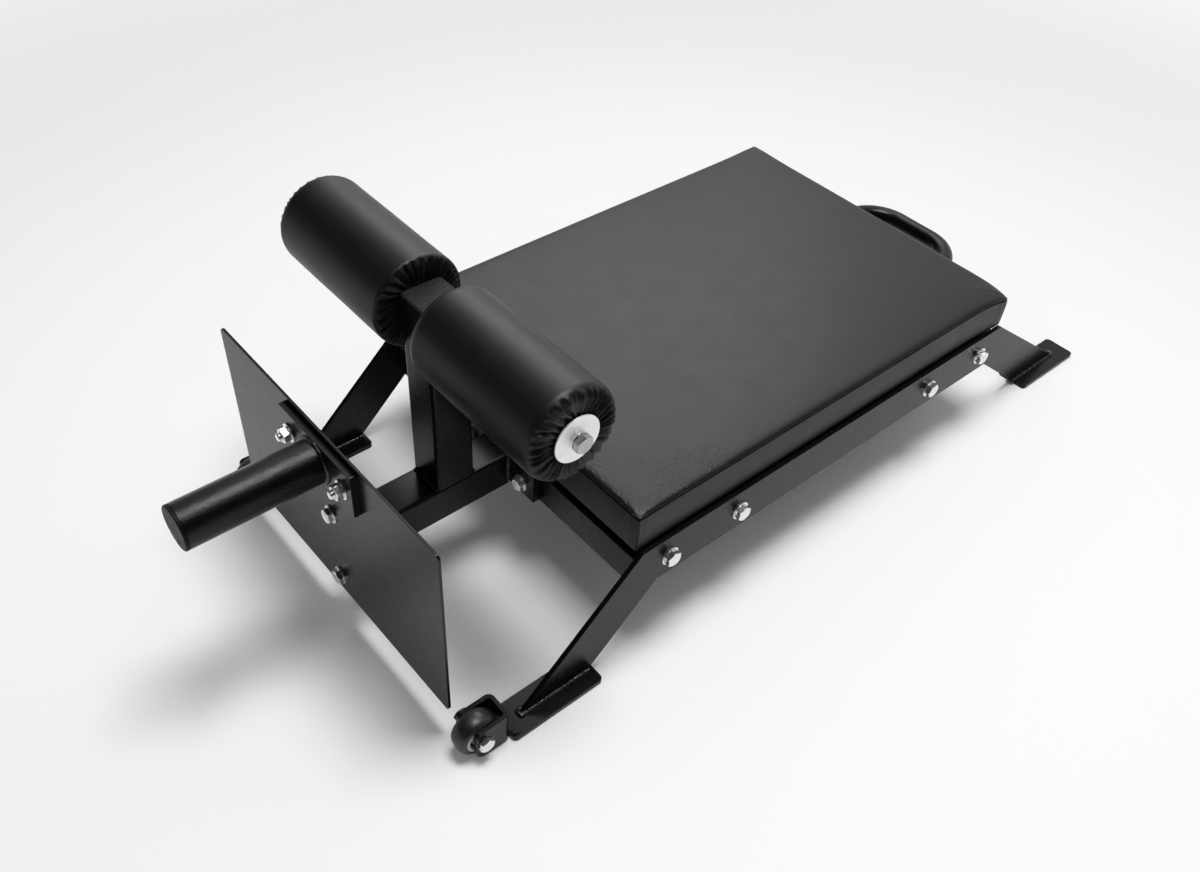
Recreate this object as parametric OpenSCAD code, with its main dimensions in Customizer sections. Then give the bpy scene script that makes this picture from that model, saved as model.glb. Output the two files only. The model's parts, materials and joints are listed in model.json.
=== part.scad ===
// Nordic hamstring bench: a low kneeling pad on a bolted steel frame, with two ankle rollers
// on a post, a footplate with a weight horn, a pair of transport wheels and a carry handle.
// X runs along the bench towards the handle, Y towards the user's left, Z up from the floor.

/* [Pad] */
// Length of the knee pad
pad_length = 665; // [600:5:720]
// Width of the knee pad
pad_width = 472; // [440:2:500]
// Height of the cushion's side band
cushion_height = 50; // [42:1:60]
// Rise of the cushion's middle above its edges
cushion_crown = 7; // [3:1:12]
// Thickness of the plywood board under the cushion
board_thickness = 10; // [9:1:14]

/* [Frame] */
// Height of the frame's underside above the floor
frame_clearance = 96.5; // [85:0.5:110]
// Height of the frame tubes
tube_height = 50; // [44:1:56]
// Depth of the two cross tubes, along the bench
cross_tube_depth = 30; // [24:1:34]
// Width of the two side rails
rail_width = 25; // [20:1:30]
// Wall of the frame tubes
tube_wall = 3; // [2:0.5:4]
// Corner radius of the frame tubes
tube_radius = 4.5; // [4.5:0.5:6]

/* [Legs] */
// Thickness of the leg plates and of the feet
leg_plate = 6; // [5:0.5:8]
// Width of the bar that each leg plate is cut as
leg_bar = 60; // [56:1:64]
// Reach of the front legs ahead of the pad
front_reach = 160; // [140:1:180]
// Reach of the rear legs behind the pad
rear_reach = 206; // [180:1:230]
// Distance of the front legs' upper bend behind the front of the pad
front_bend_inset = 5; // [0:1:8]
// Distance of the front legs' lower bend behind the front of the pad
front_knee_inset = 31; // [28:1:32]
// Distance of the rear legs' lower bend ahead of the back of the pad
rear_knee_inset = 12; // [8:1:22]
// Length of the front legs' foot end, along the floor
front_sole = 94; // [80:1:105]
// Length of the rear legs' foot end, along the floor
rear_sole = 103; // [90:1:110]
// Length of each front foot
front_foot_length = 126; // [116:1:132]
// Length of each rear foot
rear_foot_length = 131; // [120:1:140]
// Width of each foot
foot_width = 46; // [40:1:54]
// Length of foot ahead of the front leg
toe_length = 24; // [20:1:30]
// Length of foot behind the rear leg
heel_length = 31; // [24:1:36]
// Corner radius of the feet
foot_radius = 6; // [3:1:10]

/* [Leg bolts] */
// Distance of the first leg bolt from the front of the pad
front_bolt_inset = 46.5; // [44:0.5:60]
// Distance of the last leg bolt from the back of the pad
rear_bolt_inset = 39.5; // [39.5:0.5:60]
// Distance between the two bolts of a pair
leg_bolt_pitch = 111.5; // [90:0.5:130]

/* [Spine and post] */
// Side of the square tube of the spine and the post
spine_side = 50; // [46:1:54]
// Length of the spine, from footplate bracket to flange
spine_length = 208; // [190:1:230]
// Thickness of the flange that bolts the spine to the frame
flange_thickness = 12; // [8:1:14]
// Width of that flange
flange_width = 146; // [130:1:160]
// Height of that flange
flange_height = 42; // [36:1:42]
// Distance of each flange bolt from the middle
flange_bolt_offset = 50.5; // [42:0.5:56]
// Distance of the post's middle ahead of the pad
post_distance = 85.5; // [70:0.5:100]
// Height of the roller axle above the floor
axle_height = 371; // [340:0.5:400]
// Height of the post above the axle's middle, with its cap
post_head = 25; // [24:0.5:32]

/* [Rollers] */
// Diameter of each roller over its cover
roller_diameter = 108; // [96:1:120]
// Length of each roller
roller_length = 201.5; // [180:0.5:220]
// Diameter of the fixed axle
axle_diameter = 28; // [24:0.5:30]
// Wall of the sleeve that turns on the axle
sleeve_wall = 3; // [2:0.5:5]
// Thickness of the vinyl cover
cover_thickness = 1.2; // [0.8:0.1:2]
// Radius over each roller's outer shoulder
outer_shoulder = 10; // [6:1:14]
// Radius over each roller's shoulder beside the post
inner_shoulder = 4; // [3:1:12]
// Diameter of the bright disc at each roller's end
end_disc_diameter = 53; // [46:1:60]
// Running clearance of the sleeve, on the radius
sleeve_clearance = 0.08; // [0.02:0.01:0.1]

/* [Footplate] */
// Width of the footplate
footplate_width = 420; // [380:2:420]
// Height of the footplate
footplate_height = 250; // [240:1:270]
// Height of its lower edge above the floor
footplate_clearance = 42; // [30:1:46]
// Thickness of the footplate
footplate_thickness = 3; // [3:0.5:6]
// Thickness of the bracket behind it
bracket_thickness = 8; // [6:0.5:10]
// Distance of the upper footplate bolt above the spine
upper_bolt_rise = 23; // [16:0.5:26]
// Distance of the lower footplate bolt below the spine
lower_bolt_drop = 29.5; // [20:0.5:36]

/* [Weight horn] */
// Diameter of the horn
horn_diameter = 50; // [46:0.5:50]
// Length of the horn, from its flange to its end
horn_length = 153; // [130:1:200]
// Wall of the horn tube
horn_wall = 4; // [3:0.5:5]
// Height of the horn's middle above the floor
horn_height = 256; // [245:1:262]
// Thickness of the horn's flange
horn_flange_thickness = 8; // [6:0.5:10]
// Width of the horn's flange
horn_flange_width = 140; // [132:1:150]
// Height of the horn's flange
horn_flange_height = 57; // [54:1:66]
// Distance of each horn bolt from the middle
horn_bolt_offset = 52; // [44:0.5:56]

/* [Wheels] */
// Diameter of each wheel
wheel_diameter = 52; // [48:1:52]
// Width of each tyre
tyre_width = 25; // [20:0.5:26]
// Height of the strap that each fork is bent from
fork_height = 44.5; // [40:0.5:48]
// Thickness of that strap
fork_strap = 5; // [4:0.5:6]
// Length of each fork
fork_length = 45; // [44:1:50]
// Running clearance of the wheel bushes, on the radius
bush_clearance = 0.06; // [0.02:0.01:0.1]

/* [Handle] */
// Diameter of the handle tube
handle_diameter = 25; // [20:1:25]
// Width of the handle, between the middles of its legs
handle_width = 172; // [140:2:200]
// Reach of the handle's middle line behind the pad
handle_reach = 128; // [100:1:150]
// Bend radius of the handle's middle line
handle_bend = 57; // [40:1:68]
// Wall of the handle tube
handle_wall = 2.5; // [1.5:0.5:3]

/* [Hidden] */
$fn = 64;
left = 1;
right = -1;
eps = 1;

// Colours
paint = [0.09, 0.09, 0.10];
vinyl = [0.15, 0.15, 0.16];
zinc = [0.78, 0.79, 0.80];
rubber = [0.06, 0.06, 0.06];
nylon = [0.55, 0.56, 0.57];
bronze = [0.62, 0.50, 0.30];
plywood = [0.24, 0.20, 0.16];
foam = [0.30, 0.30, 0.32];

// Fasteners: [thread diameter, width across flats, head height, nut height, washer diameter,
// washer thickness]
m8 = [8, 13, 5.3, 6.8, 16, 1.6];
m10 = [10, 16, 6.4, 8.4, 22, 2];
m12 = [12, 18, 7.5, 10.8, 24, 2.5];
hole_clearance = 0.5;
thread_clearance = 0.1;
thread_tip = 3;
washer_gap = 0.2;

// Heights
frame_top = frame_clearance + tube_height;
leg_top = frame_clearance + leg_bar;
cushion_base = frame_top + board_thickness;
leg_bolt_height = frame_clearance + leg_bar / 2;
spine_top = frame_clearance + spine_side;

// Places across the bench
side_gap = 1.5;
frame_half = pad_width / 2 + side_gap;
leg_face = frame_half + leg_plate;
leg_middle = frame_half + leg_plate / 2;
rail_inner = frame_half - rail_width;
fork_middle = leg_middle - 2.5;

// Places along the bench, from the front of the pad
front_foot_x = -front_reach - toe_length;
rear_foot_x = pad_length + rear_reach + heel_length - rear_foot_length;
spine_back = -flange_thickness;
spine_front = spine_back - spine_length;
footplate_back = spine_front - bracket_thickness;
footplate_face = footplate_back - footplate_thickness;
horn_base = footplate_face - horn_flange_thickness;
horn_end = horn_base - horn_length;
bench_back = rear_foot_x + rear_foot_length;
middle_x = (horn_end + bench_back) / 2;

leg_bolt_places = [
    front_bolt_inset, front_bolt_inset + leg_bolt_pitch,
    pad_length - rear_bolt_inset - leg_bolt_pitch, pad_length - rear_bolt_inset
];

// Pad fixings
board_inset = 7;
pad_bolt_offset = 150;
pad_bolt_places = [cross_tube_depth / 2, pad_length - cross_tube_depth / 2];
t_nut_flange = 20;
t_nut_flange_thickness = 1.5;
t_nut_barrel = 10.5;
pad_bolt_engagement = board_thickness - t_nut_flange_thickness;

// Spine flange
flange_bolt_rise = 16.5;
flange_bolt_height = frame_top - flange_height + flange_bolt_rise;

// Footplate bracket
footplate_bolt_heights = [frame_clearance - lower_bolt_drop, spine_top + upper_bolt_rise];
bracket_width = 60;
bracket_margin = 18;
footplate_radius = 6;

// Post
cap_thickness = 3;
cap_plug_depth = 8;
post_top = axle_height + post_head - cap_thickness;

// Rollers
roller_gap = 0.3;
roller_start = spine_side / 2 + roller_gap;
roller_end = roller_start + roller_length;
axle_end = roller_end + roller_gap;
end_disc_thickness = 1.5;
spring_washer_thickness = 4;
spring_washer_diameter = 21;
spring_washer_slot = 1.6;
axle_bolt_reach = 30;
sleeve_bore = axle_diameter / 2 + sleeve_clearance;
sleeve_outside = sleeve_bore + sleeve_wall;
cover_opening = sleeve_outside + 5;

// Wheels
wheel_height = wheel_diameter / 2 + 0.3;
fork_front = front_foot_x - fork_length;
fork_base = 1.5;
fork_side_gap = 1;
fork_width = tyre_width + 2 * fork_side_gap + 2 * fork_strap;
fork_bend = 8;
fork_chin = 14;
fork_brow = 6;
wheel_x = fork_front + 11;
hub_rim = 16.5;
hub_rim_inner = 13;
hub_boss = 10;
hub_web = 8;
hub_face_inset = 3;
bush_outside = 7;
bush_length = tyre_width + fork_side_gap;
wheel_bolt_head_side = fork_width / 2;

// Handle
handle_height = frame_top - handle_diameter / 2 - 1;

// Puts geometry that is measured from the front of the pad at its place in the bench
module bench() {
    translate([-middle_x, 0, 0]) children();
}

// Mirrors geometry drawn on the user's left to the chosen side
module on_side(side) {
    mirror([0, side == left ? 0 : 1, 0]) children();
}

// Turns geometry drawn along Z to point along X
module along_x() {
    rotate([90, 0, 90]) children();
}

// Turns geometry drawn along Z to point along Y
module along_y() {
    rotate([-90, 0, 0]) children();
}

// Rectangle with rounded corners, about its middle
module rounded_rect(w, h, r) {
    square([w - 2 * r, h], center = true);
    square([w, h - 2 * r], center = true);
    for (x = [-1, 1], y = [-1, 1])
        translate([x * (w / 2 - r), y * (h / 2 - r)]) circle(r);
}

// Section of a rectangular tube, about its middle
module tube_section(w, h, wall) {
    difference() {
        rounded_rect(w, h, tube_radius);
        rounded_rect(w - 2 * wall, h - 2 * wall, tube_radius - wall);
    }
}

// Regular hexagon, by its width across flats
module hexagon(flats) {
    circle(flats / sqrt(3), $fn = 6);
}

// Hex bolt: the head lies below z = 0 and the shank rises above it
module bolt(size, reach) {
    translate([0, 0, -size[2]]) linear_extrude(size[2]) hexagon(size[1]);
    translate([0, 0, -size[2] / 2]) cylinder(d = size[0], h = reach + size[2] / 2);
}

// Hex nut, standing on z = 0
module nut(size) {
    difference() {
        linear_extrude(size[3]) hexagon(size[1]);
        translate([0, 0, -eps])
            cylinder(d = size[0] + 2 * thread_clearance, h = size[3] + 2 * eps);
    }
}

// Flat washer, standing on z = 0
module washer(size) {
    difference() {
        cylinder(d = size[4], h = size[5]);
        translate([0, 0, -eps])
            cylinder(d = size[0] + 2 * washer_gap, h = size[5] + 2 * eps);
    }
}

// Clearance hole for a bolt, from z = 0
module bolt_hole(size, depth) {
    translate([0, 0, -eps]) cylinder(d = size[0] + 2 * hole_clearance, h = depth + 2 * eps);
}

// Outline of the cushion at one level: a rectangle with rounded corners and bowed sides
function bow(t, depth) = depth * (1 - t * t);
function corner_points(cx, cy, r, start, steps) =
    [for (i = [0 : steps]) let (a = start + 90 * i / steps) [cx + r * cos(a), cy + r * sin(a)]];
function side_points(p, q, out, depth, steps) =
    [for (i = [1 : steps - 1]) let (t = i / steps)
        p + (q - p) * t + out * bow(2 * t - 1, depth)];
function cushion_ring(half_x, half_y, r, depth, z) =
    let (
        sx = half_x - r,
        sy = half_y - r,
        flat = concat(
            corner_points(sx, sy, r, 0, corner_steps),
            side_points([sx, half_y], [-sx, half_y], [0, 1], depth, side_steps),
            corner_points(-sx, sy, r, 90, corner_steps),
            side_points([-half_x, sy], [-half_x, -sy], [-1, 0], depth, side_steps),
            corner_points(-sx, -sy, r, 180, corner_steps),
            side_points([-sx, -half_y], [sx, -half_y], [0, -1], depth, side_steps),
            corner_points(sx, -sy, r, 270, corner_steps),
            side_points([half_x, -sy], [half_x, sy], [1, 0], depth, side_steps)
        )
    )
    [for (p = flat) [p[0], p[1], z]];
corner_steps = 4;
side_steps = 10;
cushion_bow = 2;
cushion_radius = 8;

// Side band of the cushion, as [inset, share of the height] pairs from the bottom to the seam
cushion_band = [[2.5, 0], [0.8, 0.05], [0.2, 0.2], [0, 0.5], [0.2, 0.85], [0.8, 1]];
// Shares of the half width at which the top is drawn, from the seam to the middle
cushion_top = [0.012, 0.035, 0.08, 0.16, 0.3, 0.48, 0.68, 0.88];

// Cushion about its middle, with a flat base at z = 0
cushion_dome = 9;

module cushion(length, width, height, crown) {
    hx = length / 2 - cushion_bow;
    hy = width / 2 - cushion_bow;
    band = [for (s = cushion_band)
        cushion_ring(hx - s[0], hy - s[0], cushion_radius, cushion_bow, s[1] * height)];
    seam = cushion_band[len(cushion_band) - 1][0];
    top = [for (s = cushion_top) let (inset = seam + s * (hy - 10))
        cushion_ring(
            hx - inset, hy - inset, cushion_radius * (1 - s) + 1, cushion_bow * (1 - s),
            height + crown * (1 - pow(1 - s, cushion_dome))
        )];
    rings = concat(band, top);
    count = len(rings[0]);
    points = [for (r = rings, p = r) p];
    sides = [for (k = [0 : len(rings) - 2], i = [0 : count - 1]) let (
        a = k * count + i, b = k * count + (i + 1) % count, c = b + count, d = a + count
    ) each [[a, c, b], [a, d, c]]];
    last = (len(rings) - 1) * count;
    base = [[for (i = [0 : count - 1]) i]];
    lid = [[for (i = [count - 1 : -1 : 0]) last + i]];
    polyhedron(points = points, faces = concat(base, sides, lid));
}

// Pad
module pad_cushion() {
    color(vinyl) bench() translate([pad_length / 2, 0, cushion_base])
        cushion(pad_length, pad_width, cushion_height, cushion_crown);
}

module pad_board() {
    color(plywood) bench() difference() {
        translate([pad_length / 2, 0, frame_top])
            linear_extrude(board_thickness)
            rounded_rect(pad_length - 2 * board_inset, pad_width - 2 * board_inset, 10);
        at_pad_bolts() {
            translate([0, 0, frame_top - eps])
                cylinder(d = t_nut_barrel, h = board_thickness + 2 * eps);
            translate([0, 0, cushion_base - t_nut_flange_thickness])
                cylinder(d = t_nut_flange, h = t_nut_flange_thickness + eps);
        }
    }
}

module at_pad_bolts() {
    for (x = pad_bolt_places, y = [-1, 1]) translate([x, y * pad_bolt_offset, 0]) children();
}

module pad_t_nuts() {
    color(zinc) bench() at_pad_bolts() difference() {
        union() {
            translate([0, 0, frame_top])
                cylinder(d = t_nut_barrel - thread_clearance, h = board_thickness);
            translate([0, 0, cushion_base - t_nut_flange_thickness])
                cylinder(d = t_nut_flange - thread_clearance, h = t_nut_flange_thickness);
        }
        translate([0, 0, frame_top - eps])
            cylinder(d = m8[0] + 2 * thread_clearance, h = board_thickness + 2 * eps);
    }
}

module pad_bolts() {
    color(zinc) bench() at_pad_bolts() translate([0, 0, frame_clearance - m8[5]])
        bolt(m8, m8[5] + tube_height + pad_bolt_engagement);
}

module pad_bolt_washers() {
    color(zinc) bench() at_pad_bolts() translate([0, 0, frame_clearance - m8[5]]) washer(m8);
}

// Cross tubes and side rails
module cross_tube(x) {
    translate([x + cross_tube_depth / 2, -frame_half, frame_clearance + tube_height / 2])
        along_y() linear_extrude(2 * frame_half)
        tube_section(cross_tube_depth, tube_height, tube_wall);
}

module pad_bolt_holes() {
    at_pad_bolts() translate([0, 0, frame_clearance]) bolt_hole(m8, tube_height);
}

module front_cross_tube() {
    color(paint) bench() difference() {
        cross_tube(0);
        pad_bolt_holes();
        at_flange_bolts() bolt_hole(m10, cross_tube_depth);
    }
}

module rear_cross_tube() {
    color(paint) bench() difference() {
        cross_tube(pad_length - cross_tube_depth);
        pad_bolt_holes();
    }
}

module rail(side) {
    color(paint) bench() on_side(side) difference() {
        translate([cross_tube_depth, rail_inner + rail_width / 2, frame_clearance + tube_height / 2])
            along_x() linear_extrude(pad_length - 2 * cross_tube_depth)
            tube_section(rail_width, tube_height, tube_wall);
        at_leg_bolts() translate([0, 0, -rail_width]) bolt_hole(m12, rail_width);
    }
}

module left_rail() { rail(left); }

module right_rail() { rail(right); }

// Leg plates and feet, drawn on the user's left
module at_leg_bolts() {
    for (x = leg_bolt_places) translate([x, frame_half, leg_bolt_height]) along_y() children();
}

module leg_outline() {
    polygon([
        [front_bend_inset, leg_top],
        [pad_length, leg_top],
        [pad_length + rear_reach, leg_plate],
        [pad_length + rear_reach - rear_sole, leg_plate],
        [pad_length - rear_knee_inset, frame_clearance],
        [front_knee_inset, frame_clearance],
        [front_sole - front_reach, leg_plate],
        [-front_reach, leg_plate]
    ]);
}

module leg_plate_on(side) {
    color(paint) bench() on_side(side) difference() {
        translate([0, leg_face, 0]) rotate([90, 0, 0]) linear_extrude(leg_plate) leg_outline();
        at_leg_bolts() bolt_hole(m12, leg_plate);
    }
}

module left_leg_plate() { leg_plate_on(left); }

module right_leg_plate() { leg_plate_on(right); }

module foot(side, x, length) {
    color(paint) bench() on_side(side)
        translate([x + length / 2, leg_middle, 0])
        linear_extrude(leg_plate) rounded_rect(length, foot_width, foot_radius);
}

module left_front_foot() { foot(left, front_foot_x, front_foot_length); }

module right_front_foot() { foot(right, front_foot_x, front_foot_length); }

module left_rear_foot() { foot(left, rear_foot_x, rear_foot_length); }

module right_rear_foot() { foot(right, rear_foot_x, rear_foot_length); }

module leg_bolts() {
    color(zinc) bench() for (side = [left, right]) on_side(side) at_leg_bolts()
        translate([0, 0, leg_plate + m12[5]]) mirror([0, 0, 1])
        bolt(m12, leg_plate + m12[5] + rail_width + m12[3] + thread_tip);
}

module leg_bolt_washers() {
    color(zinc) bench() for (side = [left, right]) on_side(side) at_leg_bolts()
        translate([0, 0, leg_plate]) washer(m12);
}

module leg_bolt_nuts() {
    color(zinc) bench() for (side = [left, right]) on_side(side) at_leg_bolts()
        translate([0, 0, -rail_width - m12[3]]) rotate([0, 0, 30]) nut(m12);
}

// Spine and its flange
module spine_tube() {
    color(paint) bench()
        translate([spine_front, 0, frame_clearance + spine_side / 2])
        along_x() linear_extrude(spine_length) tube_section(spine_side, spine_side, tube_wall);
}

// Places of the flange bolts on the front face of the front cross tube, pointing back
module at_flange_bolts() {
    for (y = [-1, 1])
        translate([0, y * flange_bolt_offset, flange_bolt_height]) along_x() children();
}

module spine_flange() {
    color(paint) bench() difference() {
        translate([-flange_thickness, -flange_width / 2, frame_top - flange_height])
            cube([flange_thickness, flange_width, flange_height]);
        at_flange_bolts() translate([0, 0, -flange_thickness]) bolt_hole(m10, flange_thickness);
    }
}

module flange_bolts() {
    color(zinc) bench() at_flange_bolts() translate([0, 0, -flange_thickness - m10[5]])
        bolt(m10, m10[5] + flange_thickness + cross_tube_depth + m10[5] + m10[3] + thread_tip);
}

module flange_washers() {
    color(zinc) bench() at_flange_bolts() {
        translate([0, 0, -flange_thickness - m10[5]]) washer(m10);
        translate([0, 0, cross_tube_depth]) washer(m10);
    }
}

module flange_nuts() {
    color(zinc) bench() at_flange_bolts()
        translate([0, 0, cross_tube_depth + m10[5]]) nut(m10);
}

// Footplate, its bracket and its two bolts
module at_footplate_bolts() {
    for (z = footplate_bolt_heights)
        translate([footplate_face, 0, z]) along_x() children();
}

module footplate() {
    color(paint) bench() difference() {
        translate([footplate_face, 0, footplate_clearance + footplate_height / 2])
            along_x() linear_extrude(footplate_thickness)
            rounded_rect(footplate_width, footplate_height, footplate_radius);
        at_footplate_bolts() bolt_hole(m10, footplate_thickness);
        at_horn_bolts() bolt_hole(m10, horn_flange_thickness + footplate_thickness);
    }
}

module footplate_bracket() {
    low = footplate_bolt_heights[0] - bracket_margin;
    high = footplate_bolt_heights[1] + bracket_margin;
    color(paint) bench() difference() {
        translate([footplate_back, 0, (low + high) / 2]) along_x()
            linear_extrude(bracket_thickness) rounded_rect(bracket_width, high - low, 4);
        at_footplate_bolts() bolt_hole(m10, footplate_thickness + bracket_thickness);
    }
}

module footplate_bolts() {
    color(zinc) bench() at_footplate_bolts() translate([0, 0, -m10[5]])
        bolt(m10, m10[5] + footplate_thickness + bracket_thickness + m10[3] + thread_tip);
}

module footplate_washers() {
    color(zinc) bench() at_footplate_bolts() translate([0, 0, -m10[5]]) washer(m10);
}

module footplate_nuts() {
    color(zinc) bench() at_footplate_bolts()
        translate([0, 0, footplate_thickness + bracket_thickness]) nut(m10);
}

// Weight horn, bolted through the footplate from behind
module at_horn_bolts() {
    for (y = [-1, 1])
        translate([horn_base, y * horn_bolt_offset, horn_height]) along_x() children();
}

horn_cap_thickness = 4;
horn_cap_groove = 1;
horn_stud = 4.5;

module horn_tube() {
    color(paint) bench() translate([horn_end + horn_cap_thickness, 0, horn_height]) along_x()
        difference() {
            cylinder(d = horn_diameter, h = horn_length - horn_cap_thickness);
            translate([0, 0, -eps])
                cylinder(d = horn_diameter - 2 * horn_wall, h = horn_length + 2 * eps);
        }
}

// Disc welded into the end of the horn, with a narrow groove where it meets the tube
module horn_cap() {
    color(paint) bench() translate([horn_end, 0, horn_height]) along_x() {
        cylinder(d1 = horn_diameter - 2, d2 = horn_diameter, h = 1);
        translate([0, 0, 1])
            cylinder(d = horn_diameter, h = horn_cap_thickness - 1 - horn_cap_groove);
        cylinder(d = horn_diameter - 2 * horn_cap_groove, h = horn_cap_thickness);
    }
}

module horn_flange() {
    color(paint) bench() difference() {
        translate([horn_base, 0, horn_height]) along_x() linear_extrude(horn_flange_thickness)
            rounded_rect(horn_flange_width, horn_flange_height, 2);
        at_horn_bolts() bolt_hole(m10, horn_flange_thickness);
    }
}

module horn_bolts() {
    grip = horn_flange_thickness + footplate_thickness;
    color(zinc) bench() at_horn_bolts() translate([0, 0, grip + m10[5]]) mirror([0, 0, 1])
        bolt(m10, m10[5] + grip + m10[5] + m10[3] + horn_stud);
}

module horn_washers() {
    color(zinc) bench() at_horn_bolts() {
        translate([0, 0, -m10[5]]) washer(m10);
        translate([0, 0, horn_flange_thickness + footplate_thickness]) washer(m10);
    }
}

module horn_nuts() {
    color(zinc) bench() at_horn_bolts() translate([0, 0, -m10[5] - m10[3]]) nut(m10);
}

// Post and the plastic cap in its top
module post() {
    color(paint) bench() difference() {
        translate([-post_distance, 0, spine_top]) linear_extrude(post_top - spine_top)
            tube_section(spine_side, spine_side, tube_wall);
        translate([-post_distance, -spine_side / 2, axle_height]) along_y()
            translate([0, 0, -eps])
            cylinder(d = axle_diameter + 2 * thread_clearance, h = spine_side + 2 * eps);
    }
}

module post_cap() {
    plug = spine_side - 2 * tube_wall - 2 * washer_gap;
    color(rubber) bench() translate([-post_distance, 0, post_top]) {
        linear_extrude(cap_thickness - 1) rounded_rect(spine_side, spine_side, tube_radius);
        linear_extrude(cap_thickness) rounded_rect(spine_side - 2, spine_side - 2, tube_radius - 1);
        translate([0, 0, -cap_plug_depth]) linear_extrude(cap_plug_depth + 1)
            rounded_rect(plug, plug, 2);
    }
}

// Fixed axle, tapped at both ends
module on_axle(side) {
    translate([-post_distance, 0, axle_height]) on_side(side) along_y() children();
}

module roller_axle() {
    color(paint) bench() difference() {
        translate([-post_distance, -axle_end, axle_height]) along_y()
            cylinder(d = axle_diameter, h = 2 * axle_end);
        for (side = [left, right]) on_axle(side)
            translate([0, 0, axle_end - axle_bolt_reach - thread_tip])
            cylinder(d = m12[0] + 2 * thread_clearance, h = axle_bolt_reach + thread_tip + eps);
    }
}

module axle_end_discs() {
    color(zinc) bench() for (side = [left, right]) on_axle(side)
        translate([0, 0, axle_end]) difference() {
            cylinder(d = end_disc_diameter, h = end_disc_thickness);
            translate([0, 0, -eps])
                cylinder(d = m12[0] + 2 * washer_gap, h = end_disc_thickness + 2 * eps);
        }
}

module axle_spring_washers() {
    color(zinc) bench() for (side = [left, right]) on_axle(side)
        translate([0, 0, axle_end + end_disc_thickness]) difference() {
            cylinder(d = spring_washer_diameter, h = spring_washer_thickness);
            translate([0, 0, -eps])
                cylinder(d = m12[0] + 2 * washer_gap, h = spring_washer_thickness + 2 * eps);
            translate([0, -spring_washer_slot / 2, -eps])
                cube([spring_washer_diameter, spring_washer_slot, spring_washer_thickness + 2 * eps]);
        }
}

module axle_end_bolts() {
    stack = end_disc_thickness + spring_washer_thickness;
    color(zinc) bench() for (side = [left, right]) on_axle(side)
        translate([0, 0, axle_end + stack]) mirror([0, 0, 1]) bolt(m12, stack + axle_bolt_reach);
}

// Rollers: a sleeve that turns on the axle, foam glued on it, and a gathered cover over both.
// Half section between two radii, with a rounded shoulder at each end; the skin is what the
// section is set back by at its ends and outside
module roller_section(inner, skin) {
    outer = roller_diameter / 2 - skin;
    low = inner_shoulder - skin;
    high = outer_shoulder - skin;
    translate([inner, roller_start + skin + low])
        square([outer - inner, roller_length - 2 * skin - low - high]);
    translate([inner, roller_start + skin]) square([outer - low - inner, low]);
    translate([inner, roller_end - skin - high]) square([outer - high - inner, high]);
    translate([outer - low, roller_start + skin + low]) circle(low);
    translate([outer - high, roller_end - skin - high]) circle(high);
}

module roller_sleeve(side) {
    color(nylon) bench() on_axle(side) rotate_extrude()
        translate([sleeve_bore, roller_start]) square([sleeve_wall, roller_length]);
}

module roller_foam(side) {
    color(foam) bench() on_axle(side) rotate_extrude()
        roller_section(sleeve_outside, cover_thickness);
}

module roller_cover(side) {
    color(vinyl) bench() on_axle(side) rotate_extrude() difference() {
        roller_section(cover_opening, 0);
        roller_section(0, cover_thickness);
    }
}

module left_roller_sleeve() { roller_sleeve(left); }

module left_roller_foam() { roller_foam(left); }

module left_roller_cover() { roller_cover(left); }

module right_roller_sleeve() { roller_sleeve(right); }

module right_roller_foam() { roller_foam(right); }

module right_roller_cover() { roller_cover(right); }

// Transport wheels, drawn about the middle of the left fork
module at_wheel(side) {
    on_side(side) translate([wheel_x, fork_middle, wheel_height]) along_y() children();
}

module fork_outline() {
    inner_bend = fork_bend - fork_strap;
    difference() {
        translate([fork_front + fork_length / 2, 0])
            rounded_rect(fork_length, fork_width, fork_bend);
        translate([fork_front + fork_length / 2 - fork_strap, 0])
            rounded_rect(fork_length, fork_width - 2 * fork_strap, inner_bend);
    }
    for (y = [-1, 1])
        translate([fork_front, y * (fork_width - fork_strap) / 2 - fork_strap / 2])
            square([fork_length / 2, fork_strap]);
}

// Side view of the fork, with the two corners of its open end rounded
module fork_side() {
    top = fork_base + fork_height;
    translate([fork_front, fork_base + fork_chin])
        square([fork_length, fork_height - fork_chin - fork_brow]);
    translate([fork_front + fork_chin, fork_base]) square([fork_length - fork_chin, fork_chin]);
    translate([fork_front + fork_brow, top - fork_brow])
        square([fork_length - fork_brow, fork_brow]);
    translate([fork_front + fork_chin, fork_base + fork_chin]) circle(fork_chin);
    translate([fork_front + fork_brow, top - fork_brow]) circle(fork_brow);
}

module wheel_fork(side) {
    color(paint) bench() difference() {
        intersection() {
            on_side(side) translate([0, fork_middle, fork_base])
                linear_extrude(fork_height) fork_outline();
            on_side(side) translate([0, fork_middle + fork_width, 0]) rotate([90, 0, 0])
                linear_extrude(2 * fork_width) fork_side();
        }
        at_wheel(side) translate([0, 0, -fork_width / 2]) bolt_hole(m10, fork_width);
    }
}

module left_wheel_fork() { wheel_fork(left); }

module right_wheel_fork() { wheel_fork(right); }

tyre_shoulder = 4;

module tyre(side) {
    w = tyre_width / 2;
    r = wheel_diameter / 2;
    color(rubber) bench() at_wheel(side) rotate_extrude() difference() {
        union() {
            translate([hub_rim, -w]) square([r - tyre_shoulder - hub_rim, 2 * w]);
            translate([hub_rim, tyre_shoulder - w]) square([r - hub_rim, 2 * (w - tyre_shoulder)]);
            for (y = [-1, 1])
                translate([r - tyre_shoulder, y * (w - tyre_shoulder)]) circle(tyre_shoulder);
        }
        translate([0, -tyre_width]) square([hub_rim, 2 * tyre_width]);
    }
}

module left_tyre() { tyre(left); }

module right_tyre() { tyre(right); }

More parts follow.
